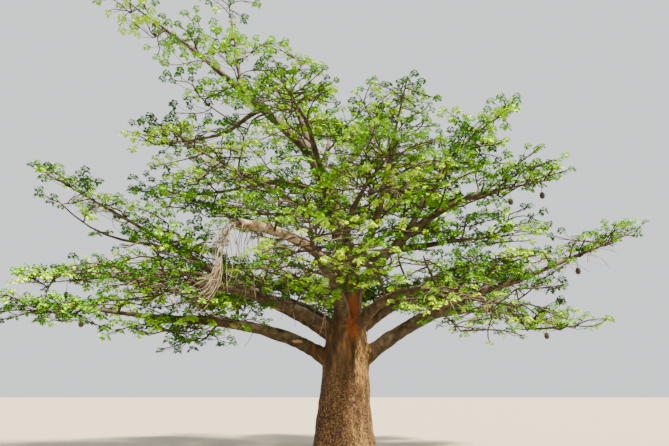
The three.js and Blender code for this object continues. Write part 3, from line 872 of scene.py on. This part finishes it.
def old_bark_colour(node, place):
    """The trunk's colour: streaked above, flaked below, painted sunlight in golden patches on the right,
    with the torn streak, and turning to the boughs' tones further than a metre from the trunk's middle."""
    streaks = node("Mapping", {"Vector": place, "Scale": (1, 1, 0.22)})
    x, z = (node("SeparateXYZ", {0: place}, axis) for axis in "XZ")
    level = node("VectorMath", {0: place, 1: (1, 1, 0)}, operation="MULTIPLY")
    from_middle = node("VectorMath", {0: level}, "Value", operation="LENGTH")
    # each part of the trunk: what it is told by, and where it starts and is full
    ranges = (
        (z, 2.7, 1.3), (x, 0.05, 0.4), (z, 3.6, 2.9), (from_middle, 0.78, 1.1), (z, 1.7, 2.3),
        (noise(node, streaks, 5, 4), 0.44, 0.58),
    )
    low, right, below_fork, on_limb, above_flare, golden = (
        node("MapRange", {0: by, "From Min": start, "From Max": full}, interpolation_type="SMOOTHSTEP")
        for by, start, full in ranges
    )
    flecks = node("MapRange", {0: noise(node, streaks, 34, 6), "From Min": 0.44, "From Max": 0.56})
    # painted sunlight: the golden patches are kept to the right side of the trunk, below the fork
    for part in (flecks, right, below_fork):
        golden = node("Math", {0: golden, 1: part}, operation="MULTIPLY")
    on_limb = node("Math", {0: on_limb, 1: above_flare}, operation="MULTIPLY")
    shaft = node("ValToRGB", {0: noise(node, streaks, 9, 5)}, stops=SHAFT_TONES)
    flaked = node("ValToRGB", {0: noise(node, place, 21, 8)}, stops=FLAKED_TONES)
    base = mixed(node, golden, mixed(node, low, shaft, flaked), linear(SUNLIT_GOLDEN_TONE))
    base = mix_in_mark(node, place, base, *TORN_FORK)
    return mixed(node, on_limb, base, limb_tones(node, place, *BOUGH_TONES))


# mixes in torn wood, pale marks, and on the low left bough a patch of painted sunlight
def mix_in_mark(node, place, base, centre, halves, colour):
    """Mixes in a colour where the distance from a centre, measured in the wound's own half sizes, is
    below about one. The place is shaken by a noise, whose mean of one half is allowed for."""
    ragged = noise(node, place, 7, 4, 1)
    shaken = node("Mix", {0: SHAKEN, 4: place, 5: ragged}, 1, data_type="VECTOR")
    middle = [(1 - SHAKEN) * c + SHAKEN / 2 for c in centre]
    offset = node("VectorMath", {0: shaken, 1: middle}, operation="SUBTRACT")
    scaled = node("VectorMath", {0: offset, 1: [1 / half for half in halves]}, operation="MULTIPLY")
    distance = node("VectorMath", {0: scaled}, "Value", operation="LENGTH")
    fade = {0: distance, "From Min": 1.1, "From Max": 0.6, "To Max": 0.85}
    mark = node("MapRange", fade, interpolation_type="SMOOTHSTEP")
    return mixed(node, mark, base, linear(colour))


def limb_tones(node, place, dark, middle, light):
    """Clouds of three browns, a sixth of a metre across."""
    stops = (0.32, dark), (0.5, middle), (0.7, light)
    return node("ValToRGB", {0: noise(node, place, 6, 6)}, stops=stops)


# %% Bark materials
def bark(name, colour, roughness, scale, detail, strength, depth):
    """Dull plant fibre, IOR 1.45, with a colour worked out by a function and a bump of fine grain."""
    material, shader, node = new_material(name, {"Roughness": roughness, "IOR": 1.45})
    place = node("TexCoord", {}, "Object")
    grain = {"Height": noise(node, place, scale, detail), "Strength": strength, "Distance": depth}
    feed(shader, {"Base Color": colour(node, place), "Normal": node("Bump", grain)})
    return material


def limb_bark(name, *tones, marks=()):
    """Young baobab bark: a thick grey-brown skin with a fine wrinkle, a little smoother than the trunk."""

    def colour(node, place):
        base = limb_tones(node, place, *tones)
        for mark in marks:
            base = mix_in_mark(node, place, base, *mark)
        return base

    return bark(name, colour, 0.8, 28, 5, 0.5, 0.02)


# centre, half sizes, colour: pale marks on two low boughs, the first a patch of painted sunlight,
# and the split at the broken bough's root
PAINTED_SUNLIT_PATCH_AND_PALE_MARKS = [
    ((-1.27, -0.4, 3.05), (0.15, 0.3, 0.05), "#8c7450"),
    ((-3.02, -0.75, 3.46), (0.14, 0.3, 0.07), "#8c7450"),
    ((-1.95, 0.2, 4.12), (0.26, 0.4, 0.13), "#957c54"),
]
SPLIT = [
    ((-1.04, -1.3, 5.5), (0.32, 0.4, 0.15), "#a58a58"),
    ((-0.94, -1.3, 5.41), (0.22, 0.4, 0.11), "#6d3f1a"),
]
# old bark is corky and pitted, so rougher and with a deeper grain than the limbs'
bark_of_trunk = bark("old_pitted_baobab_bark", old_bark_colour, 0.86, 34, 6, 0.7, 0.03)
# the boughs' bark carries the pale marks, the first of them a patch of painted sunlight
bark_of_boughs = limb_bark("smooth_grey_brown_baobab_bark", *BOUGH_TONES, marks=PAINTED_SUNLIT_PATCH_AND_PALE_MARKS)
bark_of_high_boughs = limb_bark("sunlit_grey_brown_baobab_bark", "#1b140a", "#33281a", "#4e412e")
bark_of_dead_bough = limb_bark("weathered_bare_baobab_bough", "#584a38", "#8f7d65", "#b5a58d", marks=SPLIT)

# %% Trunk and leader
LEADER_FOOT, SHAFT_START, SHAFT_RINGS, SHAFT_SIDES = 0.2, 0.06, 60, 40

trunk_parts = [trunk_grid(), root_tube(limbs["leader"], LEADER_FOOT), *roots_on("trunk")]
trunk = bark_piece("trunk_bark_skin", trunk_parts, 0.0235, 8, bark_of_trunk)
stand_for(trunk, ["trunk"])

# the leader starts inside the trunk's skin, and is a tenth thinner there to stay in it
shaft_path, _, shaft_radii = along(limbs["leader"], np.linspace(SHAFT_START, 1, SHAFT_RINGS))
shaft_radii = shaft_radii * (1 - 0.1 * np.linspace(1, 0, SHAFT_RINGS) ** 8)
shaft = tubes(shaft_path[None], shaft_radii[None], SHAFT_SIDES)
leader = bark_piece("leader_bark_skin", [shaft, *roots_on("leader")], 0.021, 7, bark_of_high_boughs)
stand_for(leader, ["leader"])

# %% [markdown]
# ## Boughs
# Beyond its fused root a bough is a plain tapering tube, so rings carried along its path are enough.
# Its stem inside the crown is the same limb growing on. The rings get the same relief as the trunk,
# and slow swellings, because no bough is as even as a pipe.

# %% Boughs
RING_GAP, BOUGH_SIDES, SPLINTERS = 0.045, 26, 0.16
SWELLING, SWELLING_SIZE = 1 / 12, 0.3  # a share of the radius, and how far apart in metres
FULL_RELIEF = 0.09  # boughs thinner than this have less relief


def splintered(walls, going):
    """The end of a broken bough: each side's last point stands out along the limb by its own chance."""
    walls[-1] += going * rng.uniform(-0.2, 1, (BOUGH_SIDES, 1)) * SPLINTERS
    walls[-2] += going * rng.uniform(0, 0.3, (BOUGH_SIDES, 1)) * SPLINTERS
    return walls


def bough_tube(name):
    """A bough and its stem as one tube, from inside its parent's skin to the stem's tip, its points
    moved outwards by the bark's relief and by slow swellings of a twelfth of its radius. The broken
    bough has no stem and ends in splinters."""
    limb, stem, parent = limbs[name], spaces[name].stem, parents[name]
    start = max(0, fused_share(name, parent) - 2 * OVERLAP / limb.length) if parent in VISIBLE_ROOT else 0
    path, _, radii = along(limb, np.linspace(start, 1, LIMB_SAMPLES))
    if name != DEAD:
        path, radii = np.concatenate([path, stem.path[1:]]), np.concatenate([radii, stem.radii[1:]])
    walked = lengths_along(path)
    rings = int(walked[-1] / RING_GAP)
    wanted = np.linspace(0, walked[-1], rings)
    path, radii = evenly(path, rings), np.interp(wanted, walked, radii)
    if start:
        radii = radii * (1 - SUNK * np.clip(1 - wanted / OVERLAP, 0, 1))
    points, quads, triangles = tubes(path[None], radii[None], BOUGH_SIDES)
    walls = points[:-2].reshape(rings, BOUGH_SIDES, 3)
    outward = walls - path[:, None]
    swelling = SWELLING * field(walls.reshape(-1, 3), SWELLING_SIZE, 9).reshape(rings, BOUGH_SIDES, 1)
    thick = np.clip(radii / FULL_RELIEF, 0.15, 1)[:, None, None]
    relief = bark_relief(walls.reshape(-1, 3)).reshape(rings, BOUGH_SIDES, 1) * thick
    walls = walls + outward * swelling + unit(outward) * relief
    if name == DEAD:
        walls = splintered(walls, limb.going[-1])
    return np.concatenate([walls.reshape(-1, 3), points[-2:]]), quads, triangles


BOUGH_GROUPS = {
    "boughs_left": "low_left left_high left_far front_left left_lateral front_left_mid",
    "boughs_front_and_right": "front front_right low_right under_right right_mid"
    " right_up right_side right_upright",
    "boughs_top": "top_left top_left_side top_left_up top_middle top_right top_back top_front",
    "boughs_back": "back_right back back_left back_right_mid right_back back_left_mid front_mid",
    "broken_bough": "broken",
}
OTHER_BARKS = {"broken_bough": bark_of_dead_bough, "boughs_top": bark_of_high_boughs}
for group, names in BOUGH_GROUPS.items():
    parts = joined([bough_tube(name) for name in names.split()])
    boughs = make_piece(group, *parts, OTHER_BARKS.get(group, bark_of_boughs))
    stand_for(boughs, ["bough_" + name for name in names.split()])

# %% [markdown]
# ## Twigs
# The twigs, the axes of the sprays and the fine twigs under the rosettes are three batches of tubes.
# They are stiff and a little crooked on the real tree, and finer than the picture can show, so three
# or four sides are enough for the finest.

# %% Twig tubes
AXIS_ROOT, AXIS_TIP, FINE_ROOT, FINE_TIP, TWIG_RINGS = 0.022, 0.011, 0.011, 0.007, 9
FINE_BACK = 0.3  # a fine twig leaves the axis this share of the spray before its rosette


def tapering(paths, root, tip, sides):
    """Tubes that all taper evenly from a root radius to a tip radius."""
    return tubes(paths, np.tile(np.linspace(root, tip, paths.shape[1]), (len(paths), 1)), sides)


def twig_tubes(mass):
    """A mass's twigs with six sides, its spray axes with four, and its fine twigs with three."""
    sprays, parts = mass.sprays, []
    if mass.twigs:
        paths, _, radii = zip(*(along(twig, np.linspace(0, 1, TWIG_RINGS)) for twig in mass.twigs))
        parts.append(tubes(np.stack(paths), np.stack(radii), 6))
    parts.append(tapering(sprays.axes[sprays.used], AXIS_ROOT, AXIS_TIP, 4))
    spray, rosette = np.nonzero(sprays.keep)
    ends = sprays.centres[spray, rosette]
    share = np.clip(ROSETTES[rosette, 0] - FINE_BACK, 0.05, 0.8)
    starts = sprays.axes[spray, np.rint(share * (sprays.axes.shape[1] - 1)).astype(int)]
    way, lift = unit(ends - starts), sprays.lift[spray]
    fine = curve(starts, unit(way - 0.3 * lift), ends, unit(way + 0.5 * lift + 0.3 * UP), 2)
    return joined([*parts, tapering(fine, FINE_ROOT, FINE_TIP, 3)])


def nodes_of(masses):
    return sorted({"foliage_" + mass.space.name for mass in masses})


bark_of_twigs = limb_bark("twig_bark_of_a_baobab", "#171107", "#2b2110", "#43351e")
for name, on_right in (("twigs_left_half", False), ("twigs_right_half", True)):
    half = [mass for mass in crown if (mass.space.middle[0] > 0) == on_right]
    twigs = make_piece(name, *joined([twig_tubes(mass) for mass in half]), bark_of_twigs)
    stand_for(twigs, nodes_of(half))

# %% [markdown]
# ## Leaves
# A baobab leaf is a hand of five narrow leaflets on a thin stalk, and a rosette of leaves stands round
# each twig's tip like an umbrella, the outer ones hanging. One leaf is worked out as a template, and
# all others are that template turned, scaled and bent as arrays. Particles or instances would be lost
# in the export. Each leaflet is two triangles folded along its midrib.

# %% One leaf
STALK, STALK_WIDTH = 0.105, 0.006
# each leaflet's turn, length and width
LEAFLETS = (
    (-96, 0.06, 0.033), (-48, 0.083, 0.042), (0, 0.095, 0.046), (48, 0.083, 0.042), (96, 0.06, 0.033),
)
WIDEST, EDGE_LIFT = 0.55, 0.007


def leaf_template():
    """A stalk of two triangles along +X and five leaflets that fan out from its end. A leaflet has a
    base, a tip and two edge points at its widest, which stand above the rib between base and tip."""
    half = STALK_WIDTH / 2
    points = [(0, -half, 0), (0, half, 0), (STALK, half, 0), (STALK, -half, 0)]
    triangles = [(0, 3, 2), (0, 2, 1)]
    for turn, length, width in LEAFLETS:
        first = len(points)
        c, s = np.cos(np.radians(turn)), np.sin(np.radians(turn))
        edge = WIDEST * length
        outline = ((0, 0, 0), (edge, -width / 2, EDGE_LIFT), (length, 0, 0), (edge, width / 2, EDGE_LIFT))
        points += [(STALK + c * x - s * y, s * x + c * y, z) for x, y, z in outline]
        triangles += [(first, first + 1, first + 2), (first, first + 2, first + 3)]
    return np.array(points), np.array(triangles)


leaf_points, leaf_triangles = leaf_template()
print("one leaf:", len(leaf_points), "points,", len(leaf_triangles), "triangles")

# %% Rosettes of leaves
LEAVES_IN_ROSETTE, LEAF_ROLL, AXIS_CHANCE, LEAF_BEND = 17, 0.42, 0.18, (0.9, 2.6)
LEAF_STEEP, LEAF_FALL, RISE_CHANCE = 38, 62, 12  # the first leaf's rise, and how much lower the last's is
INNER_SIZE, OUTER_GROWTH, SIZE_CHANCE = 0.62, 0.36, (0.85, 1.15)
SMALLER_IN_FRONT, FRONT_FROM, FRONT_DEPTH = 0.38, -0.5, 3.5  # a share, and metres along Y


def rosette_leaves(centres, tilts):
    """All leaves of many rosettes. Leaf k stands at a golden-angle turn round the rosette's axis, from
    steep and small at the middle to hanging and large outside, is rolled about its stalk by chance,
    and bends down by the square of the distance from its root."""
    count, k = len(centres), np.arange(LEAVES_IN_ROSETTE)
    axis = unit(UP + 0.3 * tilts + rng.uniform(-AXIS_CHANCE, AXIS_CHANCE, (count, 3)))[:, None]
    across = unit(np.cross(axis, (0.3, 1, 0.2)))
    up_across = np.cross(axis, across)
    turn = np.radians(GOLDEN_ANGLE * k + rng.uniform(0, 360, (count, 1)))[..., None]
    share = k / (LEAVES_IN_ROSETTE - 1)
    shape = (count, LEAVES_IN_ROSETTE)
    rise = LEAF_STEEP - LEAF_FALL * share + rng.uniform(-RISE_CHANCE, RISE_CHANCE, shape)
    rise = np.radians(rise)[..., None]
    flat = np.cos(turn) * across + np.sin(turn) * up_across
    out = np.cos(rise) * flat + np.sin(rise) * axis
    level = np.cross(axis, flat)
    roll = rng.normal(0, LEAF_ROLL, (*shape, 1))
    side = np.cos(roll) * level + np.sin(roll) * np.cross(out, level)
    lift = np.cross(out, side)
    size = (INNER_SIZE + OUTER_GROWTH * share) * rng.uniform(*SIZE_CHANCE, shape)
    front = np.clip((FRONT_FROM - centres[:, 1:2]) / FRONT_DEPTH, 0, 1)
    size = size * rng.uniform(*SIZE_CHANCE, (count, 1)) * (1 - SMALLER_IN_FRONT * front)
    local = leaf_points * size[..., None, None]
    placed = np.einsum("clij,clpj->clpi", np.stack([out, side, lift], axis=-1), local)
    placed += centres[:, None, None]
    placed[..., 2] -= rng.uniform(*LEAF_BEND, (*shape, 1)) * (local[..., 0] ** 2 + local[..., 1] ** 2)
    return placed.reshape(-1, len(leaf_points), 3)


# %% [markdown]
# The crown isn't one green. Sprays at the top, out at the rim and on the right are painted a little
# brighter and yellower, as sunlight would make them, and those inside and underneath are painted
# deeper, as shade would, but chance counts for more. So each spray gets a tone from its place and
# chance, the sprays are dealt by tone into six pieces of the same size, and each piece has one plain
# green. Leaves are waxy but matt: IOR 1.4, roughness 0.55, and a weak gloss.

# %% Deal the sprays by tone
GREENS = {
    "leaves_shaded": "#244e00",
    "leaves_deep": "#336500",
    "leaves_green": "#4b8200",
    "leaves_bright": "#679e00",
    "leaves_fresh": "#80b500",
    "leaves_yellow": "#9bc400",
}
CROWN_MIDDLE, CROWN_HALVES = np.array([-0.3, 0.3, 7.2]), np.array([9.6, 7.6, 7.8])
CROWN_TOP, TONE_CHANCE = 15, 0.6


def spray_tones(roots):
    """A tone from how far out in the crown a spray stands, how high, how far to the right, and whether
    it is in front of the fork, and a larger share of chance. The first three paint sunlight and shade."""
    x, y, z = roots.T
    out = np.linalg.norm((roots - CROWN_MIDDLE) / CROWN_HALVES, axis=1)
    in_front = np.exp(-((x / 3.2) ** 2) - ((z - 6) / 2.8) ** 2) * (y < -1)
    # painted sunlight and shade: sprays up high, out at the rim and to the right get brighter tones
    told = 0.1 * out + 0.26 * (z / CROWN_TOP) + 0.02 * x / CROWN_HALVES[0] + 0.03 * in_front
    return told + rng.uniform(0, TONE_CHANCE, len(roots))


def deal_leaves():
    """The leaves of all rosettes, and for each leaf which sixth of the tones its spray falls in."""
    kept = [(mass.sprays, np.nonzero(mass.sprays.keep)[0]) for mass in crown]
    centres = np.concatenate([sprays.centres[sprays.keep] for sprays, _ in kept])
    tilts = np.concatenate([sprays.lift[spray] for sprays, spray in kept])
    tones = np.concatenate([spray_tones(sprays.centres[:, 3])[spray] for sprays, spray in kept])
    leaves = rosette_leaves(centres, tilts)
    rank = np.argsort(np.argsort(tones, kind="stable"), kind="stable")
    return leaves, np.repeat(rank * len(GREENS) // len(rank), LEAVES_IN_ROSETTE)


def leaf_piece(name, colour, leaves):
    look = {"Base Color": linear(colour), "Roughness": 0.55, "IOR": 1.4, "Specular IOR Level": 0.12}
    material = new_material("soft_waxy_leaf_" + name, look)[0]
    triangles = (leaf_triangles + np.arange(len(leaves))[:, None, None] * len(leaf_points)).reshape(-1, 3)
    return make_piece(name, leaves.reshape(-1, 3), NO_QUADS, triangles, material, smooth=False)


all_leaves, tone_group = deal_leaves()
for index, (name, colour) in enumerate(GREENS.items()):
    stand_for(leaf_piece(name, colour, all_leaves[tone_group == index]), nodes_of(crown))
print(len(all_leaves), "leaves")

# %% [markdown]
# ## Dead twigs
# One bough broke off long ago. Its end and the twigs that hang from it are bare, grey and pale, and
# more bare twigs hang through the front of the crown. Each is one crooked curve from a chance place on
# its bearer to a chance end below. The growth rule would space them too evenly for dead wood.

# %% Dead twigs
BROOM, BROOM_FROM, BROOM_HEADING = 22, (0.6, 1.0), 205
FOUNTAIN, FOUNTAIN_FROM = 26, (-0.3, 0.5)
CURTAIN, CURTAIN_FROM, CURTAIN_DROP = 26, (0.3, 1.0), (0.8, 2.4)
DEAD_ROOT, CURTAIN_ROOT, BARE_ROOT, DEAD_TIP, DEAD_CROOK = 0.0145, 0.009, 0.011, 0.006, 0.1
BARE_TWIGS, HANG_STEPS = 12, 10
BARE_AMONG_LEAVES = "left_high front_left front front_right low_right front_left_mid front_mid".split()


def dead_tubes(paths, root):
    return tapering(crooked(paths, DEAD_CROOK), root, DEAD_TIP, 5)


def broom():
    """Twigs from the lower part of the dead stem that sweep down and away to the left in long arcs."""
    starts, going, _ = along(dead_stem, rng.uniform(*BROOM_FROM, BROOM))
    out = direction(rng.uniform(-50, 50, BROOM) + BROOM_HEADING, rng.uniform(-40, -10, BROOM))
    ends = starts + out * rng.uniform(0.4, 1.0, (BROOM, 1)) - UP * rng.uniform(0.1, 0.75, (BROOM, 1))
    return curve(starts, unit(going - 0.6 * UP), ends, unit(out - 0.1 * UP), HANG_STEPS)


def fountain():
    """Twigs from the bough's last stretch and the stem that leave sideways, arch over, and hang."""
    at = rng.uniform(*FOUNTAIN_FROM, FOUNTAIN)[:, None]
    from_bough = along(limbs[DEAD], 1 + at[:, 0].clip(max=0))[0]
    starts = np.where(at < 0, from_bough, along(dead_stem, at[:, 0].clip(min=0))[0])
    out = direction(rng.uniform(150, 330, FOUNTAIN), rng.uniform(-15, 25, FOUNTAIN))
    aside = out * rng.uniform(0.15, 0.9, (FOUNTAIN, 1)) * (1, 1, 0)
    ends = starts + aside - UP * rng.uniform(0.5, 1.7, (FOUNTAIN, 1))
    return curve(starts, unit(out + 0.3 * UP), ends, unit(0.2 * out - UP), HANG_STEPS)


def curtain():
    """Thin twigs that hang almost straight down from the underside of the broken bough."""
    starts = along(limbs[DEAD], rng.uniform(*CURTAIN_FROM, CURTAIN))[0]
    aside = direction(rng.uniform(0, 360, CURTAIN), 0) * rng.uniform(0, 0.4, (CURTAIN, 1))
    ends = starts + aside - UP * rng.uniform(*CURTAIN_DROP, (CURTAIN, 1))
    return curve(starts, unit(aside - 0.3 * UP), ends, unit(-0.3 * aside - UP), HANG_STEPS)


def bare_twig_tubes(space):
    """Bare twigs from a stem's buds out and down to points low in its egg, curling back at the end."""
    turn, out = rng.uniform(0, 2 * np.pi, BARE_TWIGS), rng.uniform(0.3, 0.8, BARE_TWIGS)
    shares = np.stack([out * np.cos(turn), out * np.sin(turn), rng.uniform(-0.9, -0.1, BARE_TWIGS)], axis=1)
    ends = space.middle + (0.8 * shares * space.halves) @ space.axes
    starts, going, _ = along(space.stem, rng.uniform(0.05, 0.8, BARE_TWIGS))
    way = unit(ends - starts)
    return dead_tubes(curve(starts, unit(way + 0.8 * going), ends, unit(way - 1.1 * UP), 8), BARE_ROOT)


# %% Hooked twigs
HOOKS = [
    # limb, share of its length, heading, reach, drop, in metres
    ("low_left", 0.62, 196, 0.3, 0.5),
    ("right_mid", 0.26, 200, 0.26, 0.62),
    ("low_left", 0.93, 186, 0.6, 0.75),
    ("low_right", 0.7, 30, 0.2, 0.45),
]


def hook_tube(limb, share, heading, reach, drop):
    """A twig that leaves a limb sideways, hangs, and curls back under itself."""
    start, out = along(limbs[limb], share)[0], direction(heading, 0)
    end = start + out * reach - UP * drop
    path = curve(start, unit(0.6 * out - UP), end, unit(out * 0.9 - 0.5 * UP), 9)
    return tapering(path[None], 0.013, DEAD_TIP, 5)


bark_of_dead_twigs = limb_bark("bare_weathered_twig_wood", "#584c3e", "#6f6354", "#897e6e")
bare = [bare_twig_tubes(space) for space in spaces.values() if space.name in BARE_AMONG_LEAVES]
dead = [
    tubes(dead_stem.path[None, ::2], dead_stem.radii[None, ::2], 7),
    dead_tubes(broom(), DEAD_ROOT),
    dead_tubes(fountain(), DEAD_ROOT),
    dead_tubes(curtain(), CURTAIN_ROOT),
]
dead_twigs = joined([*dead, *bare, *(hook_tube(*row) for row in HOOKS)])
stand_for(make_piece("dead_twigs", *dead_twigs, bark_of_dead_twigs), ["twigs_" + DEAD])

# %% [markdown]
# ## Pods
# The fruit is a round to egg-shaped pod with a velvety skin, on a long stalk that hangs straight down.
# A profile carried down the stalk makes it, with five faint ribs so that it isn't a lathe shape.

# %% Pods
STALK_RADIUS, POD_RINGS, POD_SIDES = 0.008, 18, 20
# the stems that carry pods, and the share of the stem where each hangs
PODS = [
    *((name, POD_AT) for name in "right_up top_left low_left low_right back_right back_left".split()),
    ("right_side", 0.7), ("top_left_up", 0.5), ("under_right", 0.6), ("left_far", 0.8), ("right_up", 0.95),
]


def pod_and_stalk(root):
    """A stalk straight down from a point, and a pod. Its radius is that of a ball, the square root of
    one minus the square of the share from its middle, made thicker below, with five faint ribs."""
    stalk = curve(root, -UP, root - UP * POD_STALK, -UP, 4)
    share = np.linspace(0, 1, POD_RINGS)
    path = root - UP * (POD_STALK - 0.01) - share[:, None] * UP * POD_LENGTH
    radius = POD_WIDTH / 2 * np.sqrt(np.clip(1 - (2 * share - 1) ** 2, 1e-4, 1)) * (0.92 + 0.16 * share)
    ribs = 1 + 0.03 * np.cos(5 * np.linspace(0, 2 * np.pi, POD_SIDES, endpoint=False))
    pod = tubes(path[None], radius[None, :, None] * ribs, POD_SIDES)
    return tapering(stalk[None], STALK_RADIUS, STALK_RADIUS, 6), pod


def pod_skin():
    """Velvety pod skin: short brown-green hairs, so very rough, with a sheen at grazing angles."""
    look = {"Roughness": 0.9, "IOR": 1.4, "Sheen Weight": 0.4}
    material, shader, node = new_material("velvety_baobab_pod", look)
    cloud = noise(node, node("TexCoord", {}, "Object"), 26, 4)
    base = node("ValToRGB", {0: cloud}, stops=[(0.35, "#1a1608"), (0.65, "#353216")])
    feed(shader, {"Base Color": base})
    return material


stalks, pods = zip(*(pod_and_stalk(along(spaces[name].stem, [share])[0][0]) for name, share in PODS))
pod_piece = make_piece("pods", *joined(pods), pod_skin())
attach(pod_piece, "root")
stalk_piece = make_piece("pod_stalks", *joined(stalks), bark_of_twigs)
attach(stalk_piece, "root")

# %% [markdown]
# ## Floor and light
# A plain pale floor runs to the horizon, and the background is one pale tone. A strong light from the
# upper front right stands for the sun, a weak one comes from behind, and the even background light
# fills the shade. A small lamp close by would light the near boughs more than the far ones.

# %% Stage and lights
FLOOR_REACH = 400.0


def add_floor():
    """A plain square floor of matt pale card, centred under the tree."""
    look = {"Base Color": linear("#8a8378"), "Roughness": 0.95, "IOR": 1.45}
    material = new_material("matt_pale_floor", look)[0]
    corners = np.array([[-1, -1, 0], [1, -1, 0], [1, 1, 0], [-1, 1, 0]]) * FLOOR_REACH
    make_piece("pale_floor", corners, np.array([[0, 1, 2, 3]]), NO_TRIANGLES, material)


def add_sun(name, heading, rise, strength, spread, colour):
    """A lamp with parallel rays that come from a heading and rise, soft by its spread in degrees."""
    data = bpy.data.lights.new(name, "SUN")
    data.energy, data.angle, data.color = strength, np.radians(spread), linear(colour)[:3]
    add_object(name, data).rotation_euler = (np.radians(90 - rise), 0, np.radians(heading + 90))


def add_background(colour, strength):
    world = bpy.data.worlds.new("pale_background")
    bpy.context.scene.world = world
    world.use_nodes = True
    shade = world.node_tree.nodes["Background"].inputs
    shade["Color"].default_value, shade["Strength"].default_value = linear(colour), strength


add_floor()
add_sun("soft_key_light", 322, 60, 32.0, 7, "#ffedcf")
add_sun("soft_back_light", 60, 40, 2.0, 40, "#fff8ec")
add_background("#ebedf0", 1.3)
